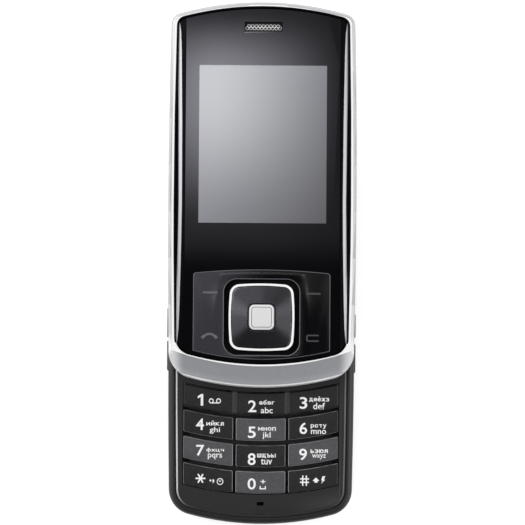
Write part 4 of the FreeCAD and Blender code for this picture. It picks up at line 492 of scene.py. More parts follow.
def dress(node, body, slot, finishes, shape=None, edge="steel_edge", sharp=SHARP_ANGLE,
          limit=SHARP_ANGLE):
    """A finished copy of a plain piece in its place, with its sharp edges rounded, as moulding,
    stamping or polishing leaves them."""
    _, sizes, _ = settings()
    bm = merged_copy(node)
    if shape is not None:
        shape(bm)
    piece = object_from(bm, f"{node}_finished", *finishes, sharp=sharp)
    bevel = piece.modifiers.new("soft_edges", "BEVEL")
    bevel.width = getattr(sizes, edge)
    bevel.segments = 2
    bevel.limit_method = "ANGLE"
    bevel.angle_limit = math.radians(limit)
    bevel.profile = 0.5
    bevel.material = -1
    bevel.harden_normals = True
    return as_piece(piece, body, slot, node)


# Finishes of the pieces that have more than one: a face has the first unless it is painted
KEY = ["key", "key_edge", "gap", "lip"]
RIM = ["rim", "gap", "lip"]
WINDOW = ["window", "display", "side", "slot_edge"]
PLATE = ["plate", "plate_edge"]
RING = ["lip", "nav_edge"]
MIDDLE_KEY = ["ok", "gap", "lip"]


def paint(faces, finishes, finish):
    """Gives some faces of a piece one of its finishes."""
    for face in faces:
        face.material_index = finishes.index(finish)


def bound_of(faces):
    corners = [vert.co for face in faces for vert in face.verts]
    low = Vector([min(corner[axis] for corner in corners) for axis in range(3)])
    high = Vector([max(corner[axis] for corner in corners) for axis in range(3)])
    return low, high


def at_level(item, level):
    """Whether a face or an edge lies flat at a height."""
    return all(abs(vert.co.z - level) < LEVEL for vert in item.verts)


def top_of(bm):
    return max(vert.co.z for vert in bm.verts)


def cut(bm, faces, point, normal):
    """Cuts some faces along a plane."""
    edges = {edge for face in faces for edge in face.edges}
    verts = {vert for face in faces for vert in face.verts}
    bmesh.ops.bisect_plane(bm, geom=[*faces, *edges, *verts], dist=SAME, plane_co=point,
                           plane_no=normal)


def cut_patch(bm, level, left, right, low, high):
    """Cuts a rectangle out of the flat face at a level, and gives the faces inside it."""
    planes = [((x, 0, 0), (1, 0, 0)) for x in (left, right)]
    planes += [((0, y, 0), (0, 1, 0)) for y in (low, high)]
    for point, normal in planes:
        cut(bm, [face for face in bm.faces if at_level(face, level)], point, normal)

    def inside(face):
        middle = face.calc_center_median()
        return at_level(face, level) and left < middle.x < right and low < middle.y < high

    return [face for face in bm.faces if inside(face)]


def inset(bm, faces, width):
    """Insets a region of faces, and gives the faces of the border that this leaves."""
    return bmesh.ops.inset_region(bm, faces=faces, thickness=width, use_even_offset=True)["faces"]


def roll(bm, edges, width, segments):
    """Rounds some edges, and gives the faces of the rounding."""
    return bmesh.ops.bevel(bm, geom=edges, offset=width, offset_type="OFFSET", segments=segments,
                           profile=0.5, affect="EDGES", material=-1)["faces"]


def sink(bm, faces, depth, toward):
    """Presses a patch of faces in, with upright walls round it."""
    made = bmesh.ops.extrude_face_region(bm, geom=faces)["geom"]
    verts = [item for item in made if isinstance(item, bmesh.types.BMVert)]
    bmesh.ops.delete(bm, geom=[face for face in faces if face.is_valid], context="FACES")
    bmesh.ops.translate(bm, verts=verts, vec=Vector(toward) * depth)
    return [item for item in made if isinstance(item, bmesh.types.BMFace)]


def thicken(bm, height):
    """Turns flat faces at z 0 into closed prints of that height."""
    made = bmesh.ops.extrude_face_region(bm, geom=bm.faces[:], use_keep_orig=True)["geom"]
    verts = [item for item in made if isinstance(item, bmesh.types.BMVert)]
    bmesh.ops.translate(bm, verts=verts, vec=(0, 0, height))
    bmesh.ops.recalc_face_normals(bm, faces=bm.faces[:])


def band(bm, x, outer, inner, start=0, sweep=360, steps=24):
    """A flat band between two radii about a point, from an angle through a sweep, in degrees."""
    turn = Matrix.Rotation(math.radians(start), 3, "Z")
    middle = Vector((x, 0, 0))
    ends = [bm.verts.new(middle + turn @ Vector((radius, 0, 0))) for radius in (inner, outer)]
    edge = bm.edges.new(ends)
    bmesh.ops.spin(bm, geom=[*ends, edge], cent=middle, axis=(0, 0, 1),
                   angle=math.radians(sweep), steps=steps, use_merge=sweep == 360)


def plate(bm, points):
    """A flat face through points given in order."""
    bm.faces.new([bm.verts.new((x, y, 0)) for x, y in points])


def bar(bm, x, y, width, height, turn=0):
    """A flat bar about a point, turned by degrees, a hair above or below the bars it crosses."""
    levels, step = 7, 0.0012 * MM
    level = (1 + len(bm.faces) % levels) * step
    place = Matrix.Translation((x, y, level)) @ Matrix.Rotation(math.radians(turn), 4, "Z")
    shape = place @ Matrix.Diagonal((width, height, 1, 1))
    bmesh.ops.create_grid(bm, x_segments=1, y_segments=1, size=0.5, matrix=shape)


# Printed signs, drawn in their own units and then fitted to their places
OUTLINES = {
    "one": [(0.55, 0), (1, 0), (1, 2.1), (0.62, 2.1), (0, 1.72), (0, 1.3), (0.55, 1.6)],
    "space": [(0, 0), (2, 0), (2, 0.9), (1.65, 0.9), (1.65, 0.32), (0.35, 0.32), (0.35, 0.9),
              (0, 0.9)],
    "arrow": [(-0.45, 0), (0.45, 0), (0.45, 0.45), (1, 0.45), (0, 1.4), (-1, 0.45), (-0.45, 0.45)],
    "bolt": [(0, 0), (0.95, 1.05), (0.62, 1.1), (1, 1.9), (0.35, 1.9), (0.05, 0.85), (0.38, 0.8)],
    "clear": [(0.35, 0), (3.1, 0), (3.1, 0.36), (0.5, 0.36), (0.36, 0.5), (0.36, 1.26),
              (0.5, 1.4), (3.1, 1.4), (3.1, 1.76), (0.35, 1.76), (0, 1.41), (0, 0.35)],
}


# Signs of bands and then bars, with the arguments of both functions
DRAWN = {
    "mail": ([(-1, 0.66, 0.4), (1, 0.66, 0.4)], [(0, -0.53, 2, 0.26)]),
    "clock": ([(0, 1, 0.76)], [(-0.16, 0.14, 0.62, 0.2, 135), (0.14, 0.1, 0.5, 0.2, 30)]),
    "handset": ([(0, 1, 0.68, 22, 136, 20)],
                [(-0.8, 0.4, 0.5, 0.42, 50), (0.8, 0.4, 0.5, 0.42, -50)]),
    "dash": ([], [(0, 0, 3.55, 0.5)]),
    "*": ([], [(0, 0, 2, 0.3, turn) for turn in (0, 60, 120)]),
    "#": ([], [(-0.42, 0, 0.3, 2.3), (0, -0.38, 2.1, 0.3), (0.42, 0, 0.3, 2.3),
               (0, 0.38, 2.1, 0.3)]),
}
# How far the digits' and the letters' outlines are moved out, in the typeface's units
DIGIT_WEIGHT, LETTER_WEIGHT = 0.014, 0.01


def lettered(text, weight):
    """The flat mesh of some text in Blender's own typeface, made bolder by weight."""
    curve = bpy.data.curves.new("lettering", "FONT")
    curve.body = text
    curve.offset = weight
    curve.resolution_u = 4
    carrier = bpy.data.objects.new("lettering", curve)
    bpy.context.scene.collection.objects.link(carrier)
    bpy.context.view_layer.update()
    mesh = bpy.data.meshes.new_from_object(carrier)
    bpy.data.objects.remove(carrier)
    bpy.data.curves.remove(curve)
    return mesh


# Letters that the typeface fills badly, as pen strokes on a grid four units high
STROKES = {
    "а": ["03 14 24 33 30", "32 12 01 10 20 31"],
    "б": ["36 15 04 01 10 20 31 32 23 13 02"],
    "в": ["00 04 24 33 22 02", "22 31 20 00"],
    "г": ["00 04 24"],
    "д": ["0v 00 40 4v", "10 14 34 30"],
    "е": ["02 32 33 24 14 03 01 10 20 31"],
    "ж": ["20 24", "04 22 00", "44 22 40"],
    "з": ["04 24 33 22 12", "22 31 20 00"],
    "и": ["04 00 34 30"],
    "к": ["00 04", "34 02 30"],
    "л": ["00 10 14 34 30"],
    "м": ["00 04 21 44 40"],
    "н": ["00 04", "30 34", "02 32"],
    "о": ["10 01 03 14 24 33 31 20 10"],
    "п": ["00 04 34 30"],
    "р": ["0u 04 24 33 31 20 00"],
    "с": ["33 24 14 03 01 10 20 31"],
    "т": ["04 34", "24 20"],
    "у": ["04 20", "34 1u 0u"],
    "ф": ["2u 26", "10 01 03 14 34 43 41 30 10"],
    "х": ["04 30", "00 34"],
    "ц": ["04 00 40 4v", "30 34"],
    "ч": ["04 03 12 32", "30 34"],
    "ш": ["04 00 40 44", "20 24"],
    "щ": ["04 00 50 5v", "20 24", "40 44"],
    "ъ": ["04 14 10 30 41 42 12"],
    "ы": ["04 00 20 31 22 02", "50 54"],
    "ь": ["04 00 20 31 22 02"],
    "э": ["04 24 33 31 20 00", "12 32"],
    "ю": ["00 04", "02 12", "20 11 13 24 34 43 41 30 20"],
    "я": ["30 34 14 03 12 32", "12 00"],
}
MARKS = {"й": ("и", ["16 26"]), "ё": ("е", ["16 16", "26 26"])}
LOW = {"u": -2, "v": -1}


def stroked(bm, text):
    """Draws text with square-ended pen strokes, letter after letter."""
    thick, gap, pen = 1.1, 2, 0
    for letter in text:
        base, marks = MARKS.get(letter, (letter, []))
        reach = 0
        for line in STROKES[base] + marks:
            points = [Vector((int(p[0]), LOW.get(p[1], 0) or int(p[1]), 0)) for p in line.split()]
            reach = max(reach, *(point.x for point in points))
            for start, end in zip(points, points[1:]):
                run = end - start
                middle = (start + end) / 2
                bar(bm, pen + middle.x, middle.y, run.length + thick, thick,
                    math.degrees(math.atan2(run.y, run.x)))
        pen += reach + gap


def fitted(bm, sign, x, y, width, height):
    """Adds one sign or piece of text to bm, scaled to its place, in millimetres."""
    part = bmesh.new()
    if sign in OUTLINES:
        plate(part, OUTLINES[sign])
    elif sign in DRAWN:
        bands, bars = DRAWN[sign]
        for given in bands:
            band(part, *given)
        for given in bars:
            bar(part, *given)
    elif sign[0] in STROKES:
        stroked(part, sign)
    else:
        part.from_mesh(lettered(sign, DIGIT_WEIGHT if len(sign) == 1 else LETTER_WEIGHT))
        bmesh.ops.remove_doubles(part, verts=part.verts, dist=SAME)
    low, high = bound_of(part.faces)
    size = high - low
    scale = Matrix.Diagonal((width * MM / size.x, height * MM / size.y, 1, 1))
    middle = Matrix.Translation(-(low + high) / 2)
    part.transform(Matrix.Translation((x * MM, y * MM, 0)) @ scale @ middle)
    mesh = bpy.data.meshes.new("sign")
    part.to_mesh(mesh)
    part.free()
    bm.from_mesh(mesh)
    bpy.data.meshes.remove(mesh)


def printed(name, body, slot, finish, level, signs):
    """Signs printed on a face at a level, as one thin closed piece."""
    _, sizes, _ = settings()
    bm = bmesh.new()
    for sign in signs:
        fitted(bm, *sign)
    thicken(bm, sizes.print_height + sizes.print_depth)
    bmesh.ops.translate(bm, verts=bm.verts, vec=(0, 0, level - sizes.print_depth))
    return as_piece(object_from(bm, name, finish), body, slot)


# Sign, middle across and along, width and height, in millimetres
LEGENDS = {
    "1": [("one", -15.08, -33.91, 1.36, 2.88), ("mail", -11.49, -34.16, 3.03, 1.28)],
    "2": [("2", -2.16, -35.41, 2.05, 2.94), ("абвг", 1.42, -34.43, 3.85, 1.18),
          ("abc", 1.47, -36.40, 3.0, 1.47)],
    "3": [("3", 10.61, -34.51, 1.89, 2.94), ("деёжз", 14.55, -33.57, 5.05, 1.37),
          ("def", 14.51, -35.25, 2.94, 1.66)],
    "4": [("4", -15.17, -39.98, 1.99, 2.88), ("ийкл", -11.43, -39.72, 4.42, 1.21),
          ("ghi", -11.46, -41.48, 2.59, 1.66)],
    "5": [("5", -2.21, -41.91, 1.96, 2.85), ("мноп", 1.53, -41.05, 4.45, 0.99),
          ("jkl", 1.44, -42.71, 2.05, 1.76)],
    "6": [("6", 10.61, -40.81, 1.89, 2.88), ("рсту", 14.4, -40.35, 3.91, 1.18),
          ("mno", 14.4, -41.72, 3.79, 1.05)],
    "7": [("7", -15.04, -46.47, 2.05, 2.69), ("фхцч", -11.33, -46.42, 4.42, 1.18),
          ("pqrs", -11.37, -47.99, 3.54, 1.44)],
    "8": [("8", -2.21, -48.58, 1.96, 2.94), ("шщъы", 1.45, -47.75, 4.61, 1.15),
          ("tuv", 1.48, -49.17, 2.78, 1.44)],
    "9": [("9", 10.58, -47.33, 1.96, 2.88), ("ьэюя", 14.6, -46.5, 4.33, 1.02),
          ("wxyz", 14.55, -47.91, 3.47, 1.28)],
    "star": [("*", -14.93, -53.45, 2.46, 2.33), (".,", -12.08, -54.14, 1.2, 0.96),
             ("clock", -10.04, -54.19, 1.64, 1.69)],
    "0": [("0", -2.16, -54.73, 2.05, 2.78), ("+", 0.66, -54.14, 1.26, 0.96),
          ("space", 0.6, -55.66, 1.58, 0.8)],
    "hash": [("#", 11.0, -53.82, 2.24, 2.56), ("arrow", 13.84, -53.66, 1.74, 1.28),
             ("bolt", 15.64, -53.66, 1.11, 1.92)],
}
PALE_KEYS = ("5", "7", "9", "0")
FIRST_ROW = ("1", "2", "3")
ICONS = {
    "left": [("dash", -12.72, -7.25, 3.6, 0.5), ("handset", -12.8, -17.95, 4.3, 1.55)],
    "right": [("dash", 12.72, -7.4, 3.5, 0.5), ("clear", 12.55, -18.35, 3.1, 1.75)],
}


# ---------------------------------------------------------------- lower half


class PHONE_OT_lower_shells(bpy.types.Operator):
    """Shells of the lower half, battery cover, bright line and the screws in the back"""

    bl_idname = "phone.lower_shells"
    bl_label = "Lower shells"

    def execute(self, context):
        dress("rear_case", "lower_half", "black_case", ["back"], edge="case_edge")
        dress("keypad_case", "lower_half", "charcoal_case", ["case"], edge="case_edge")
        dress("keypad_trim_line", "lower_half", "bright_line", ["silver"])
        dress("battery_cover", "battery_cover", "black_case", ["back"], cover_grips, "case_edge")
        dress("case_screws", "lower_half", "screw_steel", ["screw"], drive_recesses)
        return {"FINISHED"}


def cover_grips(bm):
    """Presses a row of finger grips, the middle one the longest, into the battery cover."""
    low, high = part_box("battery_cover")
    width, grip, pitch, depth = 14 * MM, 0.7 * MM, 1.5 * MM, 0.3 * MM
    count, margin, taper = 5, 5 * MM, 1 * MM
    for index in range(count):
        middle = high.y - margin - index * pitch
        half = width / 2 - abs(index - count // 2) * taper
        faces = cut_patch(bm, low.z, -half, half, middle - grip / 2, middle + grip / 2)
        sink(bm, faces, depth, (0, 0, 1))


def drive_recesses(bm):
    """Sinks a round drive recess into each screw head that faces the back."""
    _, sizes, _ = settings()
    depth = 0.35 * MM
    lowest = min(vert.co.z for vert in bm.verts)
    for head in [face for face in bm.faces if at_level(face, lowest)]:
        low, high = bound_of([head])
        inset(bm, [head], (high.x - low.x) / 2 - sizes.socket_radius)
        sink(bm, [head], depth, (0, 0, 1))


class PHONE_OT_camera_and_speaker(bpy.types.Operator):
    """Camera window with its lens, and the loudspeaker's grille"""

    bl_idname = "phone.camera_and_speaker"
    bl_label = "Camera and loudspeaker"

    def execute(self, context):
        make_lens()
        dress("loudspeaker_mesh", "lower_half", "mesh_steel", ["cloth"])
        low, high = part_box("loudspeaker_mesh")
        linked_rings("loudspeaker_grille", "lower_half", low, high, low.z, -1)
        return {"FINISHED"}


def turned(bm, section, steps):
    """Turns a closed section of (radius, z) points about an upright line."""
    verts = [bm.verts.new((radius, 0, z)) for radius, z in section]
    edges = [bm.edges.new(pair) for pair in zip(verts, verts[1:] + verts[:1])]
    if section[0][0] == 0 and section[-1][0] == 0:
        bm.edges.remove(edges.pop())
    bmesh.ops.spin(bm, geom=[*verts, *edges], cent=(0, 0, 0), axis=(0, 0, 1), angle=math.tau,
                   steps=steps, use_merge=True)


def spun(name, section, centre, finish):
    """A closed piece turned about an upright line through a centre."""
    _, _, stage = settings()
    bm = bmesh.new()
    turned(bm, section, stage.turns // 2)
    bmesh.ops.remove_doubles(bm, verts=bm.verts, dist=SAME)
    bmesh.ops.recalc_face_normals(bm, faces=bm.faces[:])
    bmesh.ops.translate(bm, verts=bm.verts, vec=(centre.x, centre.y, 0))
    return object_from(bm, name, finish)


def make_lens():
    """Camera window: a bezel, a stepped cone down to a small lens, and the lens itself."""
    low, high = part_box("camera_window")
    centre = (low + high) / 2
    radius = (high.x - low.x) / 2
    bottom, top = low.z, high.z
    lens, recess, corner, wall = 0.9 * MM, 0.14 * MM, 0.08 * MM, 0.1 * MM
    count, tread, rise = 4, 0.42 * MM, 0.13 * MM
    steps = [(lens, top - recess)]
    for index in range(1, count + 1):
        reach = lens + index * tread
        steps += [(reach - corner, steps[-1][1]), (reach, top - recess - index * rise)]
    section = [(0, top), (radius, top), (radius, bottom + corner), (radius - corner, bottom),
               (steps[-1][0] + wall, bottom), *steps[::-1], (0, top - recess)]
    bezel = spun("camera_bezel", section, centre, "camera")
    as_piece(bezel, "lower_half", "camera_black", "camera_window")
    seat, shoulder, swell, parts = 0.12 * MM, 0.2 * MM, 0.25 * MM, 6
    dome = [(0, top - seat), (lens, top - seat), (lens, top - shoulder)]
    for index in range(1, parts):
        angle = math.radians(90) * index / parts
        dome.append((lens * math.cos(angle), top - shoulder - swell * math.sin(angle)))
    dome.append((0, top - shoulder - swell))
    as_piece(spun("camera_lens", dome, centre, "lens"), "lower_half", "clear_window")


def linked_rings(name, body, low, high, level, facing):
    """Rows of small linked rings over a box, as the links of a pressed grille."""
    _, sizes, _ = settings()
    pitch = sizes.mesh_pitch
    height, lift, spacing = 0.06 * MM, 0.01 * MM, 0.55 * pitch
    outer, inner = 0.5 * pitch, 0.39 * pitch
    bm = bmesh.new()
    rings = bmesh.new()
    band(rings, 0, outer, inner, steps=14)
    thicken(rings, height)
    ring = bpy.data.meshes.new("ring")
    rings.to_mesh(ring)
    rings.free()
    middle = (low + high) / 2
    foot = level if facing > 0 else level - height
    rows = max(2, round((high.y - low.y - 2 * spacing) / spacing) + 1)
    across = int((high.x - low.x - 2 * spacing) / pitch)
    for row in range(rows):
        y = middle.y + (row - (rows - 1) / 2) * spacing
        # Every other row has one ring less, and stands a hair higher
        other = row % 2
        count = across + 1 - other
        for column in range(count):
            x = middle.x + (column - (count - 1) / 2) * pitch
            before = set(bm.verts)
            bm.from_mesh(ring)
            made = [vert for vert in bm.verts if vert not in before]
            bmesh.ops.translate(bm, verts=made, vec=(x, y, foot + facing * other * lift))
    bpy.data.meshes.remove(ring)
    as_piece(object_from(bm, name, "mesh"), body, "mesh_steel")


class PHONE_OT_number_keys(bpy.types.Operator):
    """Twelve number keys with their printed legends"""

    bl_idname = "phone.number_keys"
    bl_label = "Number keys"

    def execute(self, context):
        # The borders slope gently, so a smaller angle than usual keeps their edges crisp
        border_angle = 15
        for legend, signs in LEGENDS.items():
            node = f"key_{legend}"
            finishes = ["pale_key" if legend in PALE_KEYS else "key", *KEY[1:]]
            shape = shade_border if legend in FIRST_ROW else highlight_border
            dress(node, node, "key_charcoal", finishes, shape, sharp=border_angle)
            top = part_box(node)[1].z
            printed(f"{node}_legend", node, "key_charcoal", "legend", top, signs)
        return {"FINISHED"}


def highlight_border(bm):
    """Slopes a narrow border round the face of a key, painted pale as a highlight, and white where
    it leans to the left, towards the key lamp.
    """
    _, sizes, _ = settings()
    rounding, slope, leaning_left = 0.15 * MM, 0.45, -0.2
    top = top_of(bm)
    faces = [face for face in bm.faces if at_level(face, top)]
    border = inset(bm, faces, sizes.key_border)
    inner = {vert for face in faces for vert in face.verts}
    for vert in bm.verts:
        if vert not in inner and vert.co.z > top - rounding:
            vert.co.z -= sizes.key_border * slope
    bm.normal_update()
    for face in border:
        # Borders that lean to the left take the white painted highlight, the rest the pale one
        paint([face], KEY, "lip" if face.normal.x < leaning_left else "key_edge")
    return faces


def shade_border(bm):
    """Darkens the upper edge of a key in the first row, which lies in the shade of the slide."""
    _, sizes, _ = settings()
    faces = highlight_border(bm)
    middle = sum((face.calc_center_median() for face in faces), Vector()) / len(faces)
    for face in inset(bm, faces, sizes.key_shade):
        low, high = bound_of([face])
        upper = high.x - low.x > high.y - low.y and low.y > middle.y
        paint([face], KEY, "gap" if upper else "key")


class PHONE_OT_side_keys(bpy.types.Operator):
    """Volume rocker and the two keys on the other side"""

    bl_idname = "phone.side_keys"
    bl_label = "Side keys"

    def execute(self, context):
        for node in ("volume_key", "upper_side_key", "lower_side_key"):
            dress(node, node, "side_key_black", ["side_key"], edge="key_edge")
        return {"FINISHED"}


# ---------------------------------------------------------------- what shows behind and between


INNER = {
    "main_board": "board", "upper_board": "board", "shield_cans": "can",
    "keypad_dome_sheet": "dome", "function_dome_sheet": "dome", "keypad_mat": "mat",
    "battery": "battery", "battery_contacts": "contact", "sim_holder": "can",
    "camera_module": "camera", "loudspeaker": "can", "vibration_motor": "can",
    # The microphone takes the black painted shade, so its hole reads dark
    "microphone": "gap", "antenna": "contact", "side_switches": "contact",
    "display_module": "can", "earpiece": "can", "nav_rubber": "rubber",
    "guide_shoes": "shoe",
}


class PHONE_OT_inner_parts(bpy.types.Operator):
    """Materials of the parts inside, which keep the shape of the frame"""

    bl_idname = "phone.inner_parts"
    bl_label = "Inner parts"

    def execute(self, context):
        for node, finish in INNER.items():
            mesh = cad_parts[node].data
            mesh.materials.clear()
            mesh.materials.append(MATERIALS[finish])
        return {"FINISHED"}


class PHONE_OT_slide_mechanism(bpy.types.Operator):
    """Steel plates, springs, pins, screws and the flexible cable of the slide"""

    bl_idname = "phone.slide_mechanism"
    bl_label = "Slide mechanism"

    def execute(self, context):
        plated, blackened = ("guide_steel", ["steel"]), ("screw_steel", ["screw"])
        dress("base_guide_plate", "lower_half", *plated)
        dress("guide_plate_screws", "lower_half", *blackened)
        dress("base_spring_pins", "lower_half", *plated)
        dress("slide_plate", "upper_half", *plated)
        dress("slide_spring_pins", "upper_half", *plated)
        dress("slide_screws", "upper_half", *blackened, drive_recesses)
        for node in ("slide_spring_left", "slide_spring_right"):
            piece = object_from(merged_copy(node), f"{node}_finished", "spring")
            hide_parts(node)
            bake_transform(piece)
        piece = object_from(merged_copy("flex_cable"), "flex_cable_finished", "flex")
        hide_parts("flex_cable")
        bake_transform(piece)
        return {"FINISHED"}


# ---------------------------------------------------------------- upper half


class PHONE_OT_slide_shells(bpy.types.Operator):
    """Silver rim with its chin, and the back cover of the slide"""

    bl_idname = "phone.slide_shells"
    bl_label = "Slide shells"

    def execute(self, context):
        # The rim's large rounding is coarse in places, so its facets are smoothed and not bevelled
        smooth_rounding(dress("slide_frame", "upper_half", "silver_rim", RIM, paint_frame,
                              limit=ROUNDING_ANGLE))
        dress("slide_rear_cover", "upper_half", "rear_cover_silver", ["silver_back"],
              edge="case_edge")
        return {"FINISHED"}


def smooth_rounding(piece):
    """Shades the outer rounding of the frame's top as one curved face."""
    margin, depth = 0.8 * MM, 1 * MM
    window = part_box("front_window")[1]
    across, along, level = window.x + margin, window.y + margin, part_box("slide_frame")[1].z - depth
    bm = bmesh.new()
    bm.from_mesh(piece.data)
    for edge in bm.edges:
        outside = any(abs(vert.co.x) > across or vert.co.y > along for vert in edge.verts)
        upper = all(vert.co.z > level for vert in edge.verts)
        if outside and upper and edge.calc_face_angle(0) < math.radians(ROUNDING_ANGLE):
            edge.smooth = True
    bm.to_mesh(piece.data)
    bm.free()


def paint_frame(bm):
    """Gives the frame's edges their finishes: a painted highlight round the window and along the
    chin's foot, and black painted shade down in the gap and on the ledge under the window, which
    reads as a dark line."""
    low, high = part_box("slide_frame")
    window_low, window_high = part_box("front_window")
    corner = window_low.y + 5 * MM
    border, chin_length, foot_height = 0.75 * MM, 11 * MM, 0.4 * MM
    # How upright a normal is on a flat top, on a ledge, and on the slopes of rim and chin
    flat, ledge, rim_slope, chin_slope, chin_lean = 0.999, 0.9, (0.3, 0.95), (0.5, 0.97), -0.25

    def inward(face):
        middle, normal = face.calc_center_median(), face.normal
        beside = Vector((max(0, abs(middle.x) - window_high.x),
                         max(0, middle.y - window_high.y, window_low.y - middle.y))).length
        facing = normal.x * middle.x + normal.y * (middle.y - high.y / 2)
        return beside < border and facing < 0

    def on_chin(face):
        return (face.calc_center_median().y < low.y + chin_length and face.normal.y < chin_lean
                and chin_slope[0] < face.normal.z < chin_slope[1])

    chin = [face for face in bm.faces if on_chin(face)]
    foot = min(vert.co.z for face in chin for vert in face.verts) + foot_height
    cut(bm, chin, (0, 0, foot), (0, 0, 1))
    # The painted highlight is a hair deep beside the window, and deeper round its lower corners
    levels = high.z - 0.03 * MM, high.z - 0.28 * MM
    sloping = [face for face in bm.faces if rim_slope[0] < face.normal.z < rim_slope[1]
               and inward(face)]
    cut(bm, sloping, (0, 0, levels[1]), (0, 0, 1))
    for face in bm.faces:
        middle, normal = face.calc_center_median(), face.normal
        shown = middle.z > levels[middle.y < corner] and (normal.z > flat or inward(face))
        if shown or on_chin(face) and middle.z < foot:
            paint([face], RIM, "lip")
        elif inward(face) or normal.z > ledge and middle.z < window_low.z + SAME:
            paint([face], RIM, "gap")


# Where the painted reflection strip of a side facet begins and ends across, and how far along, in
# millimetres
FACET_STRIP = [
    (20.95, 20.75, 59.8), (21.1, 20.4, 57.2), (21.1, 20.2, 52.0), (21.05, 20.1, 45.0),
    (20.85, 19.95, 35.0), (20.65, 19.85, 15.0), (20.8, 19.95, 5.0), (21.0, 20.12, -4.0),
    (21.0, 20.25, -10.0), (21.05, 20.45, -16.0), (21.1, 20.8, -19.8),
]


class PHONE_OT_front_window(bpy.types.Operator):
    """Black window with the display, bright facet strips and the earpiece grille"""

    bl_idname = "phone.front_window"
    bl_label = "Front window"

    def execute(self, context):
        # The facets meet the face at a small angle, so only a small sharp angle keeps them flat
        dress("front_window", "upper_half", "black_window", WINDOW, shape_window, sharp=1)
        for side in SIDES:
            make_facet_strip(side)
        dress("earpiece_mesh", "upper_half", "mesh_steel", ["cloth"])
        # The grille leaves a little of the cloth bare below and above
        below, above = 0.45 * MM, 0.5 * MM
        low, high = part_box("earpiece_mesh")
        low = low + Vector((0, below, 0))
        high = high - Vector((0, above, 0))
        linked_rings("earpiece_grille", "upper_half", low, high, high.z, 1)
        return {"FINISHED"}


def shape_window(bm):
    """Rolls the facet edges, and sets the display's face apart from the painted border."""
    _, sizes, _ = settings()
    top = top_of(bm)
    low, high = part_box("display_module")
    middle = (low + high) / 2
    half, reach = sizes.display_width / 2, sizes.display_length / 2
    paint(cut_patch(bm, top, middle.x - half, middle.x + half, middle.y - reach, middle.y + reach),
          WINDOW, "display")
    shallow, steep, skin = math.radians(8), math.radians(24), 0.05 * MM
    edges = [edge for edge in bm.edges if shallow < edge.calc_face_angle(0) < steep
             and all(vert.co.z > top - skin for vert in edge.verts)]
    roll(bm, edges, sizes.facet_roll, segments=8)
    leaning, upward = 0.05, 0.9
    facets = [f for f in bm.faces if abs(f.normal.x) > leaning and f.normal.z > upward]
    paint(facets, WINDOW, "side")
    # The lower edge of the earpiece slot is eased, and painted grey as the highlight it catches
    low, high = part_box("earpiece_mesh")
    middle = (low + high) / 2
    ease, below = 0.35 * MM, middle.y - 3 * MM
    edges = [edge for edge in bm.edges if abs(sum(v.co.x for v in edge.verts) / 2) < high.x
             and all(below < v.co.y < middle.y for v in edge.verts)
             and at_level(edge, top) and edge.calc_face_angle(0) > UPRIGHT]
    paint(roll(bm, edges, ease, segments=3), WINDOW, "slot_edge")


def make_facet_strip(side):
    """Strip that lies in a side facet, painted as the bright reflection the facet shows, tapering to
    a point at its upper end.
    """
    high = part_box("front_window")[1]
    # The facet starts where the face's flat part ends, and falls by this slope
    flat, drop = 19.25 * MM, 0.55 / 1.95
    thickness, sunk = 0.06 * MM, 0.045 * MM
    bm = bmesh.new()
    for (out_a, in_a, y_a), (out_b, in_b, y_b) in zip(FACET_STRIP, FACET_STRIP[1:]):
        plate(bm, [(side * x * MM, y * MM) for x, y in
                   ((out_a, y_a), (in_a, y_a), (in_b, y_b), (out_b, y_b))])
    bmesh.ops.remove_doubles(bm, verts=bm.verts, dist=SAME)
    thicken(bm, thickness)
    for vert in bm.verts:
        vert.co.z += high.z - sunk - (abs(vert.co.x) - flat) * drop
    name = "facet_strip_left" if side < 0 else "facet_strip_right"
    as_piece(object_from(bm, name, "facet"), "upper_half", "bright_line")


class PHONE_OT_function_keys(bpy.types.Operator):
    """Two rocking plates beside the navigation key, with their dim icons"""

    bl_idname = "phone.function_keys"
    bl_label = "Function keys"

    def execute(self, context):
        for side in ("left", "right"):
            node = f"{side}_function_key"
            dress(node, node, "function_black", PLATE, ease_plate)
            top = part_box(node)[1].z
            printed(f"{side}_icons", node, "function_black", "icon", top, ICONS[side])
        return {"FINISHED"}


def ease_plate(bm):
    """Eases the plate's upper edges, but for the seam where the two plates meet, and paints the
    eased faces grey as a highlight.
    """
    top, ease, seam = top_of(bm), 0.22 * MM, 1 * MM
    edges = [edge for edge in bm.edges if at_level(edge, top)
             and edge.calc_face_angle(0) > UPRIGHT
             and any(abs(vert.co.x) > seam for vert in edge.verts)]
    paint(roll(bm, edges, ease, segments=3), PLATE, "plate_edge")


class PHONE_OT_navigation_key(bpy.types.Operator):
    """Navigation plate with its turned face, bright ring and the middle key"""

    bl_idname = "phone.navigation_key"
    bl_label = "Navigation key"

    def execute(self, context):
        dress("nav_key", "nav_key", "nav_face", ["nav_edge"])
        dress("nav_ring", "nav_key", "nav_chrome", RING, shade_ring)
        dress("ok_key", "ok_key", "ok_silver", MIDDLE_KEY, ok_border, "ok_edge")
        make_turned_face()
        return {"FINISHED"}


def shade_ring(bm):
    """Leaves the steep sides of the bright ring dark, as painted shade below its white painted
    highlight.
    """
    upward = 0.82
    paint([face for face in bm.faces if face.normal.z < upward], RING, "nav_edge")


def ok_border(bm):
    """Paints the middle key's sloping border white as a highlight, and cuts a fine groove round its
    face, painted black as shade.
    """
    lowest, highest = 0.1, 0.94
    margin, groove, depth = 0.12 * MM, 0.14 * MM, 0.15 * MM
    paint([face for face in bm.faces if lowest < face.normal.z < highest], MIDDLE_KEY, "lip")
    top = top_of(bm)
    faces = [face for face in bm.faces if at_level(face, top)]
    inset(bm, faces, margin)
    paint(sink(bm, inset(bm, faces, groove), depth, (0, 0, -1)), MIDDLE_KEY, "gap")


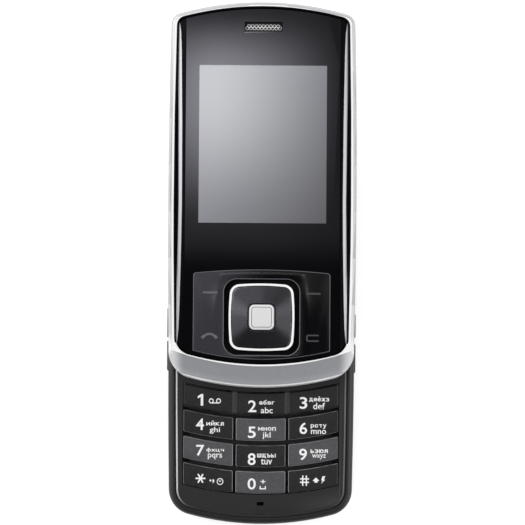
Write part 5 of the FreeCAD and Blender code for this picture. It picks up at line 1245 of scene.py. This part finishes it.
def make_turned_face():
    """Face of the navigation plate: turned grooves, trimmed to the plate's rounded square."""
    _, sizes, stage = settings()
    low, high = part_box("nav_key")
    centre = (low + high) / 2
    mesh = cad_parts["nav_key"].data
    tree = BVHTree.FromPolygons([v.co for v in mesh.vertices], [p.vertices for p in mesh.polygons])
    # The grooves' radii, the long side's share of a groove, and the margin to the plate's walls
    smallest, largest, share, margin = 2.6 * MM, 10.6 * MM, 0.93, 0.1 * MM
    below, above, far, places = 0.1 * MM, 0.004 * MM, 20 * MM, 4
    start = Vector((centre.x, centre.y, high.z - below))

    def walls(direction):
        """Radii of the plate's inner and outer walls in one direction."""
        outer = tree.ray_cast(start + direction * far, -direction)
        inner = tree.ray_cast(start, direction)
        return inner[3], far - outer[3]

    bm = bmesh.new()
    # Each groove has one long side, which leans outwards
    section = []
    for index in range(round((largest - smallest) / sizes.groove_pitch)):
        radius = smallest + index * sizes.groove_pitch
        section += [(radius, sizes.groove_depth), (radius + sizes.groove_pitch * share, 0)]
    section += [(largest, -sizes.groove_depth), (smallest, -sizes.groove_depth)]
    turned(bm, section, stage.turns)
    limits = {}
    for vert in bm.verts:
        flat = Vector((vert.co.x, vert.co.y, 0))
        key = round(math.atan2(flat.y, flat.x), places)
        if key not in limits:
            limits[key] = walls(flat.normalized())
        inner, outer = limits[key]
        held = min(max(flat.length, inner + margin), outer - margin)
        if abs(held - flat.length) > SAME:
            flat = flat.normalized() * held
            vert.co = Vector((flat.x, flat.y, min(vert.co.z, 0)))
    bmesh.ops.remove_doubles(bm, verts=bm.verts, dist=SAME)
    bmesh.ops.dissolve_degenerate(bm, edges=bm.edges, dist=SAME)
    bmesh.ops.recalc_face_normals(bm, faces=bm.faces[:])
    bmesh.ops.translate(bm, verts=bm.verts, vec=(centre.x, centre.y, high.z + above))
    # The grooves' flanks stay flat, since smoothed normals would cancel out
    face = object_from(bm, "nav_turned_face", "turned", sharp=5)
    as_piece(face, "nav_key", "nav_face")


# ---------------------------------------------------------------- stage


class PHONE_OT_stage(bpy.types.Operator):
    """Camera, floor, lamps and surroundings"""

    bl_idname = "phone.stage"
    bl_label = "Stage"

    def execute(self, context):
        scene = context.scene
        _, _, stage = settings()
        scene.view_settings.view_transform = "Standard"
        add_camera(scene, stage)
        add_floor()
        add_lamp("key_lamp", (-0.42, 0.34, 0.62), stage.key_power)
        add_lamp("fill_lamp", (0.5, -0.1, 0.5), stage.fill_power)
        add_surroundings(scene, stage)
        return {"FINISHED"}


def add_camera(scene, stage):
    data = bpy.data.cameras.new("camera")
    data.sensor_width = SENSOR_WIDTH
    data.lens = SENSOR_WIDTH * stage.pixels_per_slope / FRAME_PIXELS
    data.clip_start = 10 * MM
    data.clip_end = 20
    camera = bpy.data.objects.new("camera", data)
    scene.collection.objects.link(camera)
    aim = Vector((0.14 * MM, 0.39 * MM, 12 * MM))
    facing = Matrix.Rotation(stage.tilt, 4, "X") @ Matrix.Rotation(stage.roll, 4, "Z")
    back = facing @ Vector((0, 0, stage.distance))
    camera.matrix_world = Matrix.Translation(aim + back) @ facing
    scene.camera = camera


def add_lamp(name, place, power):
    """A soft square lamp aimed at the phone."""
    data = bpy.data.lights.new(name, "AREA")
    data.size = LAMP_SIZE
    data.energy = power
    lamp = bpy.data.objects.new(name, data)
    bpy.context.scene.collection.objects.link(lamp)
    lamp.location = place
    lamp.rotation_euler = Vector(place).to_track_quat("Z", "Y").to_euler()


def add_floor():
    """Pale table top: white to the camera where it is lit, with the phone's soft shadow."""
    reach, grain, glow = 3.0, 2 * MM, 0.55
    bm = bmesh.new()
    bmesh.ops.create_grid(bm, x_segments=1, y_segments=1, size=reach)
    # Matt laminate: pale and even, with almost no sheen
    material, tree, shader, place = new_material(
        "matt_laminate_table", Roughness=0.9, Specular_IOR_Level=0.1, Emission_Color=(1, 1, 1, 1))
    speckle = add_node(tree, "TexNoise", {
        "Vector": place, "Scale": 1 / grain,
    })["Fac"]
    mixed = add_node(tree, "Mix", {
        MIX_FACTOR: speckle, MIX_FIRST: shade("floor", 0.99), MIX_SECOND: shade("floor", 1.01),
    }, data_type="RGBA")[MIX_RESULT]
    tree.links.new(mixed, shader.inputs["Base Color"])
    rays = add_node(tree, "LightPath")
    seen = rays["Is Camera Ray"]
    for kind in ("Is Glossy Ray", "Is Transmission Ray"):
        seen = add_node(tree, "Math", {0: seen, 1: rays[kind]},
                        operation="MAXIMUM")[0]
    lit = add_node(tree, "Math", {0: seen, 1: glow}, operation="MULTIPLY")[0]
    tree.links.new(lit, shader.inputs["Emission Strength"])
    MATERIALS["floor"] = material
    object_from(bm, "table_top", "floor")


# The studio's light by direction, as steps: a name, an operation, and its numbers or earlier
# names. A ramp runs smoothly from 0 to 1, or between its last two numbers, while its value goes
# from the first number to the second. Other operations take in their values one after the other.
STUDIO = (
    ("upward", "MAXIMUM", "z", 0.001),
    ("across", "DIVIDE", "x", "upward"),
    ("along", "DIVIDE", "y", "upward"),
    # Small soft box overhead, up and to the left of the screen, and its faint spill
    ("right", "RAMP", "across", 0.046, -0.032),
    ("left", "RAMP", "across", -0.075, -0.018),
    ("low", "RAMP", "along", 0.05, 0.117),
    ("high", "RAMP", "along", 0.162, 0.126),
    ("box", "MULTIPLY", "right", "left", "low", "high", 6.6),
    ("right", "RAMP", "across", 0.05, -0.01, 0.25, 0.5),
    ("low", "RAMP", "along", 0.03, 0.052),
    ("spill", "MULTIPLY", "right", "low"),
    ("spill", "ADD", "spill", 0.05),
    ("overhead", "ADD", "box", "spill"),
    # How far a direction leans from upright, and how much of that is sideways
    ("x_square", "MULTIPLY", "x", "x"),
    ("y_square", "MULTIPLY", "y", "y"),
    ("lean", "ADD", "x_square", "y_square"),
    ("lean", "SQRT", "lean"),
    ("x_size", "ABSOLUTE", "x"),
    ("divisor", "MAXIMUM", "lean", 0.001),
    ("sideways", "DIVIDE", "x_size", "divisor"),
    # Dark flag overhead, with long soft boxes at both sides
    ("ends", "RAMP", "sideways", 0.55, 0.4),
    ("end_level", "RAMP", "y", -0.1, 0.1, 0.02, 0.13),
    ("ends", "MULTIPLY", "ends", "end_level"),
    ("sides", "RAMP", "sideways", 0.76, 0.9, 0.05, 0.8),
    ("sides", "ADD", "sides", "ends"),
    ("past_flag", "RAMP", "lean", 0.17, 0.3),
    ("above_wall", "RAMP", "lean", 0.88, 0.62),
    ("strips", "MULTIPLY", "past_flag", "sides", "above_wall"),
    # White wall all round, darker in front and brighter on the left
    ("front", "RAMP", "y", -0.85, -0.25, 0.36, 1.0),
    ("foot", "RAMP", "z", 0.2, 0.1),
    ("left", "RAMP", "x", -0.9, -0.5, 1.6, 1.0),
    ("wall", "MAXIMUM", "front", "foot"),
    ("wall", "MULTIPLY", "wall", "left"),
    ("past_boxes", "RAMP", "lean", 0.62, 0.88),
    ("wall", "MULTIPLY", "past_boxes", "wall"),
    ("mirror", "ADD", "wall", "strips", "overhead"),
    # Mirrors see that studio, the camera sees white, and the rest is lit evenly
    ("reflected", "MAXIMUM", "glossy", "transmitted"),
    ("special", "MAXIMUM", "reflected", "camera"),
    ("plain", "SUBTRACT", 1.0, "special"),
    ("even", "MULTIPLY", "plain", "ambient"),
    ("shown", "MULTIPLY", "reflected", "mirror"),
    ("light", "ADD", "shown", "camera", "even"),
)
RAMP_INPUTS = "Value", "From Min", "From Max", "To Min", "To Max"


def add_surroundings(scene, stage):
    """White studio to the camera, even light, and soft boxes and dark flags to mirrors."""
    world = bpy.data.worlds.new("studio")
    world.use_nodes = True
    scene.world = world
    tree = world.node_tree
    background = tree.nodes["Background"]
    where = add_node(tree, "TexCoord")["Generated"]
    made = dict(zip("xyz", add_node(tree, "SeparateXYZ", {"Vector": where})))
    rays = add_node(tree, "LightPath")
    made |= {"camera": rays["Is Camera Ray"], "glossy": rays["Is Glossy Ray"],
             "transmitted": rays["Is Transmission Ray"], "ambient": stage.ambient}
    for name, operation, *given in STUDIO:
        first, *others = [made.get(value, value) for value in given]
        if operation == "RAMP":
            made[name] = add_node(
                tree, "MapRange", dict(zip(RAMP_INPUTS, (first, *others))),
                interpolation_type="SMOOTHSTEP")["Result"]
            continue
        for other in others or [0.0]:
            first = add_node(tree, "Math", {0: first, 1: other},
                             operation=operation)[0]
        made[name] = first
    tree.links.new(made["light"], background.inputs["Strength"])
    background.inputs["Color"].default_value = (1, 1, 1, 1)
    # The strength follows the kind of ray, so the studio isn't sampled as a lamp
    world.cycles.sampling_method = "NONE"


class PHONE_OT_materials(bpy.types.Operator):
    """Materials of every piece"""

    bl_idname = "phone.materials"
    bl_label = "Materials"

    def execute(self, context):
        make_materials()
        return {"FINISHED"}


class PHONE_PT_sidebar(bpy.types.Panel):
    """Settings and steps of the slider phone"""

    bl_idname = "PHONE_PT_sidebar"
    bl_label = "Slider phone"
    bl_space_type = "VIEW_3D"
    bl_region_type = "UI"
    bl_category = "Phone"

    def draw(self, context):
        scene = context.scene
        for group in (scene.phone_colours, scene.phone_sizes, scene.phone_stage):
            column = self.layout.column()
            for name in type(group).__annotations__:
                column.prop(group, name)
        for step in STEPS:
            self.layout.operator(step.bl_idname)


STEPS = (
    PHONE_OT_materials,
    PHONE_OT_stage,
    PHONE_OT_inner_parts,
    PHONE_OT_lower_shells,
    PHONE_OT_camera_and_speaker,
    PHONE_OT_number_keys,
    PHONE_OT_side_keys,
    PHONE_OT_slide_mechanism,
    PHONE_OT_slide_shells,
    PHONE_OT_front_window,
    PHONE_OT_function_keys,
    PHONE_OT_navigation_key,
)
GROUPS = {
    "phone_colours": PhoneColours,
    "phone_sizes": PhoneSizes,
    "phone_stage": PhoneStage,
}


def register():
    for group in (*GROUPS.values(), *STEPS, PHONE_PT_sidebar):
        bpy.utils.register_class(group)
    for name, group in GROUPS.items():
        setattr(bpy.types.Scene, name, PointerProperty(type=group))


def unregister():
    for name in GROUPS:
        delattr(bpy.types.Scene, name)
    for group in reversed((*GROUPS.values(), *STEPS, PHONE_PT_sidebar)):
        bpy.utils.unregister_class(group)


def main():
    register()
    for step in STEPS:
        family, name = step.bl_idname.split(".")
        getattr(getattr(bpy.ops, family), name)()


if __name__ == "__main__":
    main()
